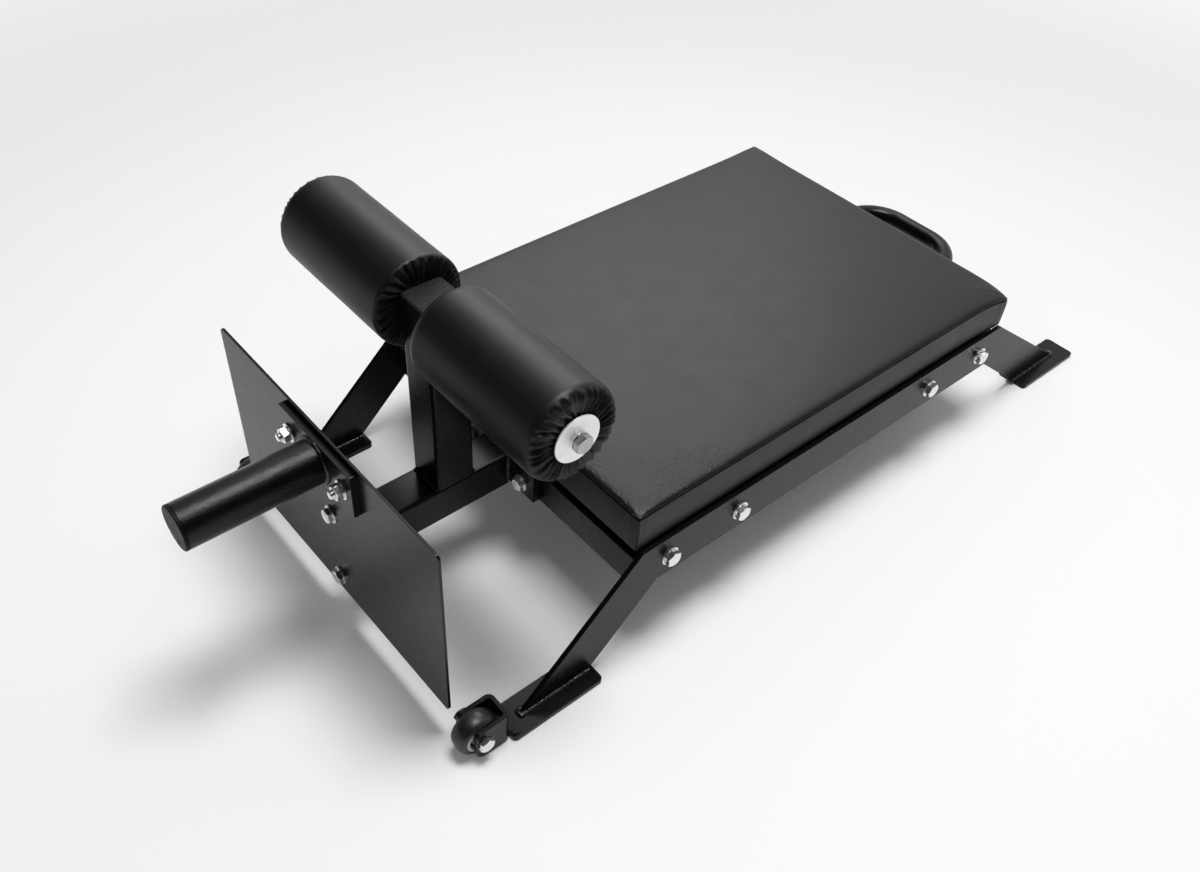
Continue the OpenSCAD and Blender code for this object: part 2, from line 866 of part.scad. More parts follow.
// Hub: a rim under the tyre, a thin web and a boss that holds the bush
module wheel_hub(side) {
    rim_width = tyre_width - 2 * hub_face_inset;
    color(nylon) bench() at_wheel(side) rotate_extrude() {
        translate([hub_rim_inner, -rim_width / 2]) square([hub_rim - hub_rim_inner, rim_width]);
        translate([bush_outside, -hub_web / 2]) square([hub_rim - bush_outside, hub_web]);
        translate([bush_outside, -tyre_width / 2]) square([hub_boss - bush_outside, tyre_width]);
    }
}

module left_wheel_hub() { wheel_hub(left); }

module right_wheel_hub() { wheel_hub(right); }

module wheel_bush(side) {
    bore = m10[0] / 2 + bush_clearance;
    color(bronze) bench() at_wheel(side) rotate_extrude()
        translate([bore, -bush_length / 2]) square([bush_outside - bore, bush_length]);
}

module left_wheel_bush() { wheel_bush(left); }

module right_wheel_bush() { wheel_bush(right); }

module wheel_bolts() {
    color(zinc) bench() for (side = [left, right]) at_wheel(side)
        translate([0, 0, wheel_bolt_head_side]) mirror([0, 0, 1])
        bolt(m10, fork_width + m10[3] + thread_tip - eps);
}

module wheel_nuts() {
    color(zinc) bench() for (side = [left, right]) at_wheel(side)
        translate([0, 0, -wheel_bolt_head_side - m10[3]]) nut(m10);
}

// Carry handle: a tube bent into a U, its legs welded to the rear cross tube
module handle_path(r) {
    straight = handle_reach - handle_bend;
    half = handle_width / 2;
    for (side = [left, right]) on_side(side) {
        translate([-0.01, half, 0]) along_x() cylinder(r = r, h = straight + 0.01);
        translate([straight, half - handle_bend, 0]) rotate([0, 0, 0])
            rotate_extrude(angle = 90) translate([handle_bend, 0]) circle(r);
    }
    translate([handle_reach, -(half - handle_bend), 0]) along_y()
        cylinder(r = r, h = 2 * (half - handle_bend));
}

module handle() {
    color(paint) bench() translate([pad_length, 0, handle_height]) difference() {
        handle_path(handle_diameter / 2);
        handle_path(handle_diameter / 2 - handle_wall);
    }
}

pad_cushion();
pad_board();
pad_t_nuts();
pad_bolts();
pad_bolt_washers();
front_cross_tube();
rear_cross_tube();
left_rail();
right_rail();
left_leg_plate();
right_leg_plate();
left_front_foot();
right_front_foot();
left_rear_foot();
right_rear_foot();
leg_bolts();
leg_bolt_washers();
leg_bolt_nuts();
spine_tube();
spine_flange();
flange_bolts();
flange_washers();
flange_nuts();
footplate();
footplate_bracket();
footplate_bolts();
footplate_washers();
footplate_nuts();
horn_tube();
horn_cap();
horn_flange();
horn_bolts();
horn_washers();
horn_nuts();
post();
post_cap();
roller_axle();
axle_end_discs();
axle_spring_washers();
axle_end_bolts();
left_roller_sleeve();
left_roller_foam();
left_roller_cover();
right_roller_sleeve();
right_roller_foam();
right_roller_cover();
left_wheel_fork();
right_wheel_fork();
left_tyre();
right_tyre();
left_wheel_hub();
right_wheel_hub();
left_wheel_bush();
right_wheel_bush();
wheel_bolts();
wheel_nuts();
handle();
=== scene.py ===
"""Looks of the nordic hamstring bench, in metres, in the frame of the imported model.

Places are written in millimetres from the front of the pad, as in the part's source, and P()
turns them into the model's frame.
"""
import json
import math
import random

import bmesh
import bpy
from mathutils import Matrix, Vector, noise


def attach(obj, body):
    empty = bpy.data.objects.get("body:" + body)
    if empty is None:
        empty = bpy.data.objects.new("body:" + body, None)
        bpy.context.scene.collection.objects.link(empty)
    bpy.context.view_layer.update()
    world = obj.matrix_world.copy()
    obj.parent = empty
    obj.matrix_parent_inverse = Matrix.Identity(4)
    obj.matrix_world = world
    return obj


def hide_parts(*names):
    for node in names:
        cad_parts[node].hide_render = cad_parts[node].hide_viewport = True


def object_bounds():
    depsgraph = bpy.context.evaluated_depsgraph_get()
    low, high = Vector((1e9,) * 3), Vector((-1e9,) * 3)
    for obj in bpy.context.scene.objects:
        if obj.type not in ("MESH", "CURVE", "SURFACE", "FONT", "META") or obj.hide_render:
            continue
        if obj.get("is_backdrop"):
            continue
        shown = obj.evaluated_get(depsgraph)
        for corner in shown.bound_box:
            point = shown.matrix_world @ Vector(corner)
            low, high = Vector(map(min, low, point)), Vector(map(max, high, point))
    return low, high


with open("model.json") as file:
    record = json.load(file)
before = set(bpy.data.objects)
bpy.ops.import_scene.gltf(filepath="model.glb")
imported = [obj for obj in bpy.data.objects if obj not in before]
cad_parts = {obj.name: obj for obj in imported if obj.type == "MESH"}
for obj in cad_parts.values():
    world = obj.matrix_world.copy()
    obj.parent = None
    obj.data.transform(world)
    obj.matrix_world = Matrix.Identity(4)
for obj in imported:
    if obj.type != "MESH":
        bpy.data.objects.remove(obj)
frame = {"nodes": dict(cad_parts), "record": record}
CAD_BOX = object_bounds()
MM = 0.001
FULL_TURN = 2 * math.pi
QUARTER = math.pi / 2
SIDES = (("left", 1), ("right", -1))
SIGNS = (1, -1)

# Sizes in millimetres, the same as in the part's source
MIDDLE_X = 255.0
PAD_LENGTH, PAD_WIDTH, PAD_BASE, PAD_SEAM = 665.0, 472.0, 156.5, 206.5
LEG_MIDDLE = 240.5
POST_X, AXLE_Z, SPINE_HALF = -85.5, 371.0, 25.0
ROLLER_RADIUS, ROLLER_START, ROLLER_END = 54.0, 25.3, 226.8
AXLE_END, DISC_THICKNESS, SPRING_WASHER = 227.1, 1.5, 4.0
HORN_Z = 256.0
WHEEL_X, WHEEL_Y, WHEEL_Z, FORK_HALF = -218.0, 238.0, 26.3, 18.5
HANDLE_Z, HANDLE_Y = 133.0, 86.0


def P(x, y, z):
    """A place in millimetres, as a point of the model's frame in metres."""
    return Vector(((x - MIDDLE_X) * MM, y * MM, z * MM))


# Camera: the photograph's viewpoint, for a 1200 x 872 image
IMAGE_WIDTH, IMAGE_HEIGHT = 1200.0, 872.0
FOCAL_PX, CENTRE_PX = 1133.47, (601.17, 434.25)
SENSOR_WIDTH = 36.0
CAMERA_PLACE = (-582.73, -786.15, 1089.07)
AZIMUTH, ELEVATION, ROLL = (math.radians(a) for a in (-43.34, 43.54, 4.15))


def make_camera():
    back = Vector((
        math.sin(AZIMUTH) * math.cos(ELEVATION),
        -math.cos(AZIMUTH) * math.cos(ELEVATION),
        math.sin(ELEVATION),
    ))
    flat_right = Vector((math.cos(AZIMUTH), math.sin(AZIMUTH), 0))
    flat_up = back.cross(flat_right)
    right = flat_right * math.cos(ROLL) + flat_up * math.sin(ROLL)
    up = flat_up * math.cos(ROLL) - flat_right * math.sin(ROLL)
    cam = bpy.data.objects.new("camera", bpy.data.cameras.new("camera"))
    bpy.context.scene.collection.objects.link(cam)
    turn = Matrix((right, up, back)).transposed().to_4x4()
    cam.matrix_world = Matrix.Translation(P(*CAMERA_PLACE)) @ turn
    cam.data.sensor_fit = "HORIZONTAL"
    cam.data.sensor_width = SENSOR_WIDTH
    cam.data.lens = FOCAL_PX / IMAGE_WIDTH * SENSOR_WIDTH
    cam.data.shift_x = (IMAGE_WIDTH / 2 - CENTRE_PX[0]) / IMAGE_WIDTH
    cam.data.shift_y = (CENTRE_PX[1] - IMAGE_HEIGHT / 2) / IMAGE_WIDTH
    cam.data.clip_start, cam.data.clip_end = 0.01, 60.0
    bpy.context.scene.camera = cam


make_camera()

# Node trees
BEVEL_SAMPLES = 4
CLOUD_SPAN = (0.3, 0.7)  # the part of the noise's range in which clouds change


class Graph:
    """A small helper for node trees. A value is a number, a vector, a colour or a socket."""

    def __init__(self, tree, coordinate):
        self.tree = tree
        self.coord = self.add("ShaderNodeTexCoord").outputs[coordinate]

    def add(self, kind, **values):
        node = self.tree.nodes.new(kind)
        for key, value in values.items():
            setattr(node, key, value)
        return node

    def put(self, value, socket):
        """Links another socket to this one, or writes a plain value into it."""
        if isinstance(value, bpy.types.NodeSocket):
            self.tree.links.new(value, socket)
        else:
            socket.default_value = value

    def fill(self, node, **values):
        """Puts values into a node's inputs. An input's name has _ for each space."""
        for key, value in values.items():
            self.put(value, node.inputs[key.replace("_", " ")])

    def noise(self, scale, detail=3.0, rough=0.55, stretch=None, distortion=0.0):
        where = self.coord
        if stretch:
            mapping = self.add("ShaderNodeMapping")
            self.fill(mapping, Scale=stretch, Vector=where)
            where = mapping.outputs[0]
        node = self.add("ShaderNodeTexNoise")
        self.fill(node, Scale=scale, Detail=detail, Roughness=rough, Distortion=distortion,
                  Vector=where)
        return node.outputs["Fac"]

    def cells(self, scale):
        node = self.add("ShaderNodeTexVoronoi", feature="DISTANCE_TO_EDGE")
        self.fill(node, Scale=scale, Vector=self.coord)
        return node.outputs["Distance"]

    def ramp(self, value, low, high, out_low=0.0, out_high=1.0, smooth=True):
        node = self.add("ShaderNodeMapRange")
        node.interpolation_type = "SMOOTHSTEP" if smooth else "LINEAR"
        self.fill(node, Value=value, From_Min=low, From_Max=high, To_Min=out_low,
                  To_Max=out_high)
        return node.outputs[0]

    def clouds(self, scale, detail, low, high):
        """Slow noise between two numbers."""
        return self.ramp(self.noise(scale, detail), *CLOUD_SPAN, low, high)

    def math(self, how, *values):
        node = self.add("ShaderNodeMath", operation=how)
        for socket, value in zip(node.inputs, values):
            self.put(value, socket)
        return node.outputs[0]

    def measure(self, how, *vectors):
        """A number from one or two vectors: LENGTH, DISTANCE or DOT_PRODUCT."""
        node = self.add("ShaderNodeVectorMath", operation=how)
        for socket, vector in zip(node.inputs, vectors):
            self.put(vector, socket)
        return node.outputs["Value"]

    def height(self):
        node = self.add("ShaderNodeSeparateXYZ")
        self.put(self.coord, node.inputs[0])
        return node.outputs["Z"]

    def mix(self, factor, a, b, colours=True):
        """Blends two colours (sockets 6 and 7) or two numbers (sockets 2 and 3)."""
        node = self.add("ShaderNodeMix", data_type="RGBA" if colours else "FLOAT")
        first = 6 if colours else 2
        for index, value in ((0, factor), (first, a), (first + 1, b)):
            self.put(value, node.inputs[index])
        return node.outputs[2 if colours else 0]

    def seen(self, mirrored):
        """1 for the camera's rays, and the given share for those of mirrors and glass."""
        rays = self.add("ShaderNodeLightPath").outputs
        through = self.math("MAXIMUM", rays["Is Glossy Ray"], rays["Is Transmission Ray"])
        return self.math("MAXIMUM", rays["Is Camera Ray"], self.math("MULTIPLY", through, mirrored))


class Surface(Graph):
    """A material with one shader."""

    def __init__(self, name):
        self.material = bpy.data.materials.new(name)
        self.material.use_nodes = True
        self.material.node_tree.nodes.clear()
        super().__init__(self.material.node_tree, "Object")
        self.out = self.add("ShaderNodeOutputMaterial")
        self.shader = self.add("ShaderNodeBsdfPrincipled")
        self.put(self.shader.outputs[0], self.out.inputs[0])

    def bump(self, height, distance, strength=1.0, normal=None):
        node = self.add("ShaderNodeBump")
        self.fill(node, Height=height, Distance=distance, Strength=strength)
        if normal is not None:
            self.put(normal, node.inputs["Normal"])
        return node.outputs[0]

    def rounded(self, radius):
        """The normal of the surface with its sharp edges rounded."""
        node = self.add("ShaderNodeBevel", samples=BEVEL_SAMPLES)
        self.fill(node, Radius=radius)
        return node.outputs[0]


# Materials
EDGE_GLINT_AND_WEAR_SPAN = (0.99, 0.80)  # cosine between the rounded normal and the face's own, for the painted edge highlight and wear
PATCH_SCALE, PATCH_SPAN = 160.0, (0.42, 0.66)  # the painted edge highlight and wear come in patches


def grey(v, warm=0.0):
    """A grey colour, warmer by a share of its red."""
    return (v * (1 + warm), v, v * (1 - warm), 1.0)


def tones(g, scale, detail, dark, light):
    """Slow clouds between two colours."""
    return g.mix(g.clouds(scale, detail, 0.0, 1.0), dark, light)


def coat(name, colour, roughness, bumps, metallic=0.0, spread=0.25, gloss=0.08, edge=0.0,
         glint_and_wear_colour=None, cloud=9.0, specular=0.5):
    """A coat with a clouded colour and gloss, layers of bump, and rounded edges that are lightened
    in patches towards a paler colour: a painted highlight for their glint, with some wear. A bump
    is (noise or cells, scale, distance, strength)."""
    g = Surface(name)
    tone = tones(g, cloud, 5.0, grey(colour * (1 - spread)), grey(colour * (1 + spread)))
    normal = None
    if edge:
        normal = g.rounded(edge)
        # edges lightened towards a paler colour: a painted highlight for the glint along the coat's
        # edges, with some wear
        if glint_and_wear_colour:
            face = g.add("ShaderNodeNewGeometry").outputs["Normal"]
            glint_and_wear = g.ramp(g.measure("DOT_PRODUCT", normal, face), *EDGE_GLINT_AND_WEAR_SPAN)
            patches = g.ramp(g.noise(PATCH_SCALE, 4.0), *PATCH_SPAN)
            patchy_glint_and_wear = g.math("MULTIPLY", glint_and_wear, patches)
            tone = g.mix(patchy_glint_and_wear, tone, grey(glint_and_wear_colour))
    for kind, scale, distance, strength in bumps:
        relief = g.cells(scale) if kind == "cells" else g.noise(scale)
        normal = g.bump(relief, distance, strength, normal)
    g.fill(g.shader, Base_Color=tone, Normal=normal, Metallic=metallic,
           Roughness=g.clouds(cloud * 6.0, 4.0, roughness - gloss, roughness + gloss),
           Specular_IOR_Level=specular)
    return g.material


CREASE_GRAINS = ((340.0, (1.0, 0.30, 1.0)), (300.0, (0.45, 1.0, 1.0)))  # scale, stretch
CREASE_DEPTH, CREASE_STRENGTH = 0.0013, 0.6
CREASE_LEVEL = 212.0  # height of the patches' middles, in millimetres


def creases(g, patches, normal):
    """Fine creases on the top, within patches that are each a place and a radius in metres."""
    mask = None
    for place, radius in patches:
        near = g.ramp(g.measure("DISTANCE", g.coord, place), radius, radius * 0.25)
        mask = near if mask is None else g.math("MAXIMUM", mask, near)
    on_top = g.ramp(g.height(), PAD_SEAM * MM, (PAD_SEAM + 3.0) * MM)
    patch = g.math("MULTIPLY", g.math("MULTIPLY", mask, on_top),
                   g.ramp(g.noise(24.0, 2.0), 0.32, 0.56))
    for scale, stretch in CREASE_GRAINS:
        fine = g.noise(scale, 1.0, 0.5, stretch=stretch, distortion=0.5)
        relief = g.math("MULTIPLY", g.math("SUBTRACT", fine, 0.5), patch)
        normal = g.bump(relief, CREASE_DEPTH, CREASE_STRENGTH, normal)
    return normal


def vinyl(name, colour, roughness, specular, creased=()):
    """Smooth upholstery vinyl: fine grain, slow clouds and, in some patches, creases."""
    g = Surface(name)
    normal = g.bump(g.cells(1150.0), 0.00012, 0.35)
    normal = g.bump(g.noise(700.0, 4.0), 0.00014, 0.35, normal)
    normal = g.bump(g.noise(26.0), 0.0006, 0.025, normal)
    if creased:
        normal = creases(g, creased, normal)
    g.fill(g.shader, Normal=normal, Specular_IOR_Level=specular,
           Base_Color=tones(g, 5.0, 4.0, grey(colour * 0.92), grey(colour * 1.08)),
           Roughness=g.clouds(34.0, 4.0, roughness - 0.015, roughness + 0.02))
    return g.material


RING_DENSITY = 9000.0  # radians of a turned ring's wave for each metre


def brushed(name, colour, roughness, metallic, rings_about=None):
    """Bright zinc: clouded passivation, fine scratches and, where asked, turned rings."""
    g = Surface(name)
    normal = g.bump(g.noise(900.0, 4.0), 0.00003, 0.25, g.rounded(0.0003))
    if rings_about:
        away = g.measure("DISTANCE", g.coord, rings_about)
        wave = g.math("SINE", g.math("MULTIPLY", away, RING_DENSITY))
        normal = g.bump(wave, 0.00001, 0.25, normal)
    g.fill(g.shader, Normal=normal, Metallic=metallic,
           Base_Color=tones(g, 60.0, 5.0, grey(colour * 0.92, 0.01), grey(colour)),
           Roughness=g.clouds(240.0, 4.0, roughness - 0.04, roughness + 0.06))
    return g.material


# the paler edge colour of these two coats is a painted edge highlight, with some wear
PAINT = coat("black_powder_coat", 0.0026, 0.27, [("noise", 750.0, 0.00008, 0.22)],
             edge=0.0009, glint_and_wear_colour=0.03, gloss=0.010, specular=0.205, spread=0.08)
HORN_PAINT = coat("coarse_powder_coat", 0.0020, 0.25,
                  [("noise", 480.0, 0.0006, 0.6), ("noise", 1100.0, 0.0003, 0.6)],
                  edge=0.0009, glint_and_wear_colour=0.03, gloss=0.03, specular=0.25)
CAP_PAINT = coat("recessed_cap", 0.003, 0.5, [("noise", 600.0, 0.0004, 0.6)], specular=0.12)
WELD_PAINT = coat("weld_powder_coat", 0.003, 0.28, [("noise", 900.0, 0.0002, 0.5)])
CREASED = (  # x, y in millimetres, radius in metres
    (25.0, -212.0, 0.10), (100.0, -224.0, 0.065), (30.0, 210.0, 0.08),
    (640.0, -210.0, 0.06), (640.0, 210.0, 0.06), (8.0, -120.0, 0.06),
)
VINYL = vinyl("charcoal_vinyl", 0.0052, 0.41, 0.28,
              [(P(x, y, CREASE_LEVEL), radius) for x, y, radius in CREASED])
ROLLER_VINYL = vinyl("roller_vinyl", 0.0034, 0.43, 0.29)
ZINC = brushed("bright_zinc", 0.85, 0.17, 0.95)
# near-black zinc for the nuts on the forks' inner sides, so that they read as the dark corner
# behind the tyre: painted shade
NUT_SHADE_ZINC = brushed("nut_shade_zinc", 0.03, 0.3, 0.9)
# a darker copy of the bright zinc for the axle-end bolts: its low colour is painted shade for the
# dark reflections in their facets
FACET_SHADE_ZINC = brushed("facet_shade_zinc", 0.42, 0.20, 1.0)
DISC_ZINC = brushed("turned_zinc", 0.95, 0.40, 0.4, tuple(P(POST_X, 0, AXLE_Z)))
RUBBER = coat("black_rubber", 0.008, 0.42, [("noise", 500.0, 0.00015, 0.5)], edge=0.0008)
PLASTIC = coat("grained_plastic", 0.012, 0.5, [("noise", 650.0, 0.0009, 0.9)], edge=0.0008,
               spread=0.5, cloud=260.0, specular=0.15)
NYLON = coat("grey_nylon", 0.42, 0.45, [("noise", 400.0, 0.0001, 0.4)], spread=0.08, edge=0.0005)
BRONZE = coat("sintered_bronze", 0.25, 0.45, [("noise", 1500.0, 0.0001, 0.6)], metallic=1.0)
PLYWOOD = coat("stained_plywood", 0.02, 0.6, [("noise", 300.0, 0.0003, 0.5)])
FOAM = coat("dense_foam", 0.03, 0.8, [("cells", 1200.0, 0.0004, 0.6)])
BY_SLOT = {
    "black_powder_coat": PAINT, "charcoal_vinyl": ROLLER_VINYL, "padded_vinyl": VINYL,
    "zinc_steel": ZINC, "black_rubber": RUBBER, "black_plastic": PLASTIC, "grey_nylon": NYLON,
    "bronze": BRONZE, "plywood": PLYWOOD, "foam": FOAM,
}
OWN_LOOK = {"horn_tube": HORN_PAINT, "horn_cap": CAP_PAINT, "axle_end_discs": DISC_ZINC}


def dress(obj, material):
    obj.data.materials.clear()
    obj.data.materials.append(material)


slot_of = {s["node"]: s["material_slot"] for s in frame["record"]["subparts"]}
for name, obj in frame["nodes"].items():
    look = OWN_LOOK.get(name) or BY_SLOT[slot_of[name]]
    if obj.material_slots:
        for slot in obj.material_slots:
            slot.link = "OBJECT"
            slot.material = look
    else:
        dress(obj, look)


# Mesh helpers
def make(name, verts, faces, material, body="frame", replaces=(), crease=35.0):
    """A piece from points in metres. Edges sharper than crease, in degrees, stay sharp."""
    mesh = bpy.data.meshes.new(name)
    mesh.from_pydata([tuple(v) for v in verts], [], faces)
    bm = bmesh.new()
    bm.from_mesh(mesh)
    bmesh.ops.recalc_face_normals(bm, faces=bm.faces)
    limit = math.radians(crease)
    for face in bm.faces:
        face.smooth = True
    for edge in bm.edges:
        if len(edge.link_faces) == 2 and edge.calc_face_angle() > limit:
            edge.smooth = False
    bm.to_mesh(mesh)
    bm.free()
    obj = bpy.data.objects.new(name, mesh)
    bpy.context.scene.collection.objects.link(obj)
    dress(obj, material)
    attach(obj, body)
    if replaces:
        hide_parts(*replaces)
    return obj


def skin(rows, columns, start=0):
    """Quads between closed rows of points; each row has that many columns."""
    faces = []
    for r in range(rows - 1):
        for c in range(columns):
            a = start + r * columns + c
            b = start + r * columns + (c + 1) % columns
            faces.append((a, b, b + columns, a + columns))
    return faces


class Builder:
    """Gathers several shapes into one mesh."""

    def __init__(self):
        self.verts, self.faces = [], []

    def rings(self, rings, loop=False):
        """A skin over rings of points, with a face at both ends, or else joined in a loop."""
        start, count = len(self.verts), len(rings[0])
        end = start + (len(rings) - 1) * count
        for ring in rings:
            self.verts += ring
        self.faces += skin(len(rings), count, start)
        if loop:
            self.faces += [(end + c, end + (c + 1) % count, start + (c + 1) % count, start + c)
                           for c in range(count)]
        else:
            self.faces += [tuple(range(first, first + count)) for first in (start, end)]


def frame_on(origin, axis, turn=0.0):
    """Maps (radius, angle, height) about an axis to a point in metres."""
    z = Vector(axis).normalized()
    x = Vector((0, 0, 1)) if abs(z.z) < 0.9 else Vector((1, 0, 0))
    x = (x - z * x.dot(z)).normalized()
    y = z.cross(x)

    def at(radius, angle, height):
        a = angle + turn
        return origin + (x * math.cos(a) * radius + y * math.sin(a) * radius + z * height) * MM
    return at


# Fasteners
SIXTH = math.pi / 3
THREAD_STEP, THREAD_SHARE = 0.25, 0.54  # height of a row of points, depth as a share of pitch
TIP_CHAMFER, TIP_LENGTH = 0.9, 1.2
SHANK_SHARE = 0.45
CHAMFER_START, CHAMFER_SLOPE = 0.475, 0.55  # a head's chamfer, from a share of its flats
NUT_CLEARANCE, NUT_COUNTERSINK = 0.1, 0.06
BOLT_STEPS, HEX_STEPS = 40, 72
SIZES = {  # thread, width across flats, head height, nut height, pitch
    "m8": (8.0, 13.0, 5.3, 6.8, 1.25),
    "m10": (10.0, 16.0, 6.4, 8.4, 1.5),
    "m12": (12.0, 18.0, 7.5, 10.8, 1.75),
}


def hex_radius(flats, angle):
    return flats / 2 / math.cos((angle + SIXTH / 2) % SIXTH - SIXTH / 2)


def hex_rings(at, flats, levels):
    """Rings of a chamfered hexagon. A level is (share of flats or None for the hexagon, height,
    chamfer)."""
    rings = []
    for share, height, chamfer in levels:
        ring = []
        for i in range(HEX_STEPS):
            angle = FULL_TURN * i / HEX_STEPS
            radius = hex_radius(flats, angle) if share is None else share * flats
            drop = chamfer * (radius - CHAMFER_START * flats) * CHAMFER_SLOPE
            ring.append(at(radius, angle, height - drop))
        rings.append(ring)
    return rings


def thread_rings(at, diameter, low, high, pitch):
    """A screw thread between two heights, with a chamfered tip."""
    rows = max(2, int((high - low) / THREAD_STEP))
    rings = []
    for r in range(rows + 1):
        height = low + (high - low) * r / rows
        run_out = max(0.0, min(1.0, (high - height) / pitch, (height - low) / pitch + 0.15))
        chamfer = TIP_CHAMFER * max(0.0, 1 - (high - height) / TIP_LENGTH)
        ring = []
        for i in range(BOLT_STEPS):
            phase = (height / pitch + i / BOLT_STEPS) % 1.0
            depth = THREAD_SHARE * pitch * abs(2 * phase - 1) * run_out
            ring.append(at(diameter / 2 - depth - chamfer, FULL_TURN * i / BOLT_STEPS, height))
        rings.append(ring)
    return rings


def add_bolt(shape, origin, axis, size, reach, turn):
    """A hex bolt: its head, dished on top, stands against axis from origin, and its shank goes
    along axis."""
    thread, flats, head, _, pitch = SIZES[size]
    back = frame_on(origin, -Vector(axis), turn)
    shape.rings(hex_rings(back, flats, [
        (0.02, head - 0.35, 0), (0.26, head - 0.35, 0), (0.33, head, 0),
        (CHAMFER_START, head, 0), (None, head, 1), (None, 0.55, 0), (0.47, 0.4, 0),
        (0.47, 0.0, 0),
    ]))
    along = frame_on(origin, axis, turn)
    shank_end = reach * SHANK_SHARE
    rings = [[along(thread / 2, FULL_TURN * i / BOLT_STEPS, h) for i in range(BOLT_STEPS)]
             for h in (0.0, shank_end)]
    shape.rings(rings + thread_rings(along, thread, shank_end, reach, pitch))


def add_nut(shape, origin, axis, size, turn):
    """A hex nut that stands on origin along axis."""
    thread, flats, _, height, _ = SIZES[size]
    bore = (thread / 2 + NUT_CLEARANCE) / flats
    mouth = bore + NUT_COUNTERSINK
    shape.rings(hex_rings(frame_on(origin, axis, turn), flats, [
        (bore, 0.6, 0), (mouth, 0, 0), (CHAMFER_START, 0, 0), (None, 0, -1),
        (None, height, 1), (CHAMFER_START, height, 0), (mouth, height, 0),
        (bore, height - 0.6, 0),
    ]), loop=True)


# Where heads and nuts stand
LEG_BOLT_X, LEG_BOLT_Z, LEG_HEAD_Y, LEG_NUT_Y = (46.5, 158.0, 514.0, 625.5), 126.5, 246.0, 212.5
FLANGE_BOLT_Y, FLANGE_BOLT_Z, FLANGE_HEAD_X, FLANGE_NUT_X = 50.5, 121.0, -14.0, 32.0
FOOTPLATE_BOLT_Z, FOOTPLATE_HEAD_X, FOOTPLATE_NUT_X = (67.0, 169.5), -233.0, -220.0
HORN_BOLT_Y, HORN_HEAD_X, HORN_NUT_X = 52.0, -226.0, -241.0
AXLE_HEAD_Y = AXLE_END + DISC_THICKNESS + SPRING_WASHER
PAD_BOLT_X, PAD_BOLT_Y, PAD_BOLT_Z = (15.0, 650.0), 150.0, 94.9
INWARD, FORWARD, BACKWARD, UP = (0, -1, 0), (-1, 0, 0), (1, 0, 0), (0, 0, 1)
turns = random.Random(7)


def fasteners(node, size, places, reach=None, turn=None, look=ZINC):
    """One piece for all of a node's bolts, or for its nuts if they have no reach. A place is a
    point and an axis. Without a turn, each is turned at random."""
    shape = Builder()
    for point, axis in places:
        angle = turns.uniform(0, SIXTH) if turn is None else turn
        if reach is None:
            add_nut(shape, point, axis, size, angle)
        else:
            add_bolt(shape, point, axis, size, reach, angle)
    make(node + "_looks", shape.verts, shape.faces, look, "frame", (node,), 28.0)


def both_sides(x, y, z, axis):
    """A place on the left and its mirror image on the right."""
    return [(P(x, s * y, z), (axis[0], s * axis[1], axis[2])) for s in SIGNS]


def leg_places(y):
    return [(P(x, s * y, LEG_BOLT_Z), (0, -s, 0)) for s in SIGNS for x in LEG_BOLT_X]


def flange_places(x):
    return both_sides(x, FLANGE_BOLT_Y, FLANGE_BOLT_Z, BACKWARD)


def footplate_places(x):
    return [(P(x, 0, z), BACKWARD) for z in FOOTPLATE_BOLT_Z]


def horn_places(x):
    return both_sides(x, HORN_BOLT_Y, HORN_Z, FORWARD)


def wheel_places(y):
    return both_sides(WHEEL_X, y, WHEEL_Z, INWARD)


fasteners("leg_bolts", "m12", leg_places(LEG_HEAD_Y), reach=47.3)
fasteners("leg_bolt_nuts", "m12", leg_places(LEG_NUT_Y), turn=0.5 * SIXTH)
fasteners("flange_bolts", "m10", flange_places(FLANGE_HEAD_X), reach=57.4)
fasteners("flange_nuts", "m10", flange_places(FLANGE_NUT_X))
fasteners("footplate_bolts", "m10", footplate_places(FOOTPLATE_HEAD_X), reach=24.4)
fasteners("footplate_nuts", "m10", footplate_places(FOOTPLATE_NUT_X))
fasteners("horn_bolts", "m10", horn_places(HORN_HEAD_X), reach=27.9)
fasteners("horn_nuts", "m10", horn_places(HORN_NUT_X))
# the axle-end bolts take the darker zinc copy, painted shade
fasteners("axle_end_bolts", "m12", both_sides(POST_X, AXLE_HEAD_Y, AXLE_Z, INWARD), reach=35.5,
          turn=0.5 * SIXTH, look=FACET_SHADE_ZINC)
fasteners("wheel_bolts", "m10", wheel_places(WHEEL_Y + FORK_HALF), reach=47.4, turn=0.3)
# the inner nuts take the near-black zinc, painted shade
fasteners("wheel_nuts", "m10", wheel_places(WHEEL_Y - FORK_HALF), turn=0.2, look=NUT_SHADE_ZINC)
fasteners("pad_bolts", "m8",
          [place for x in PAD_BOLT_X for place in both_sides(x, PAD_BOLT_Y, PAD_BOLT_Z, UP)],
          reach=60.1)

LATHE_STEPS = 96


def lathe(name, profile, middle, material, body, node):
    """A closed profile of (radius, distance along Y), turned about the Y axis through a point."""
    shape = Builder()
    angles = [FULL_TURN * i / LATHE_STEPS for i in range(LATHE_STEPS)]
    shape.rings([[P(middle[0] + r * math.cos(a), middle[1] + y, middle[2] + r * math.sin(a))
                  for a in angles] for r, y in profile], loop=True)
    make(name, shape.verts, shape.faces, material, body, (node,), 32.0)


def both_ends(half):
    """A closed profile from its half on one side."""
    return half + [(r, -y) for r, y in half[::-1]]


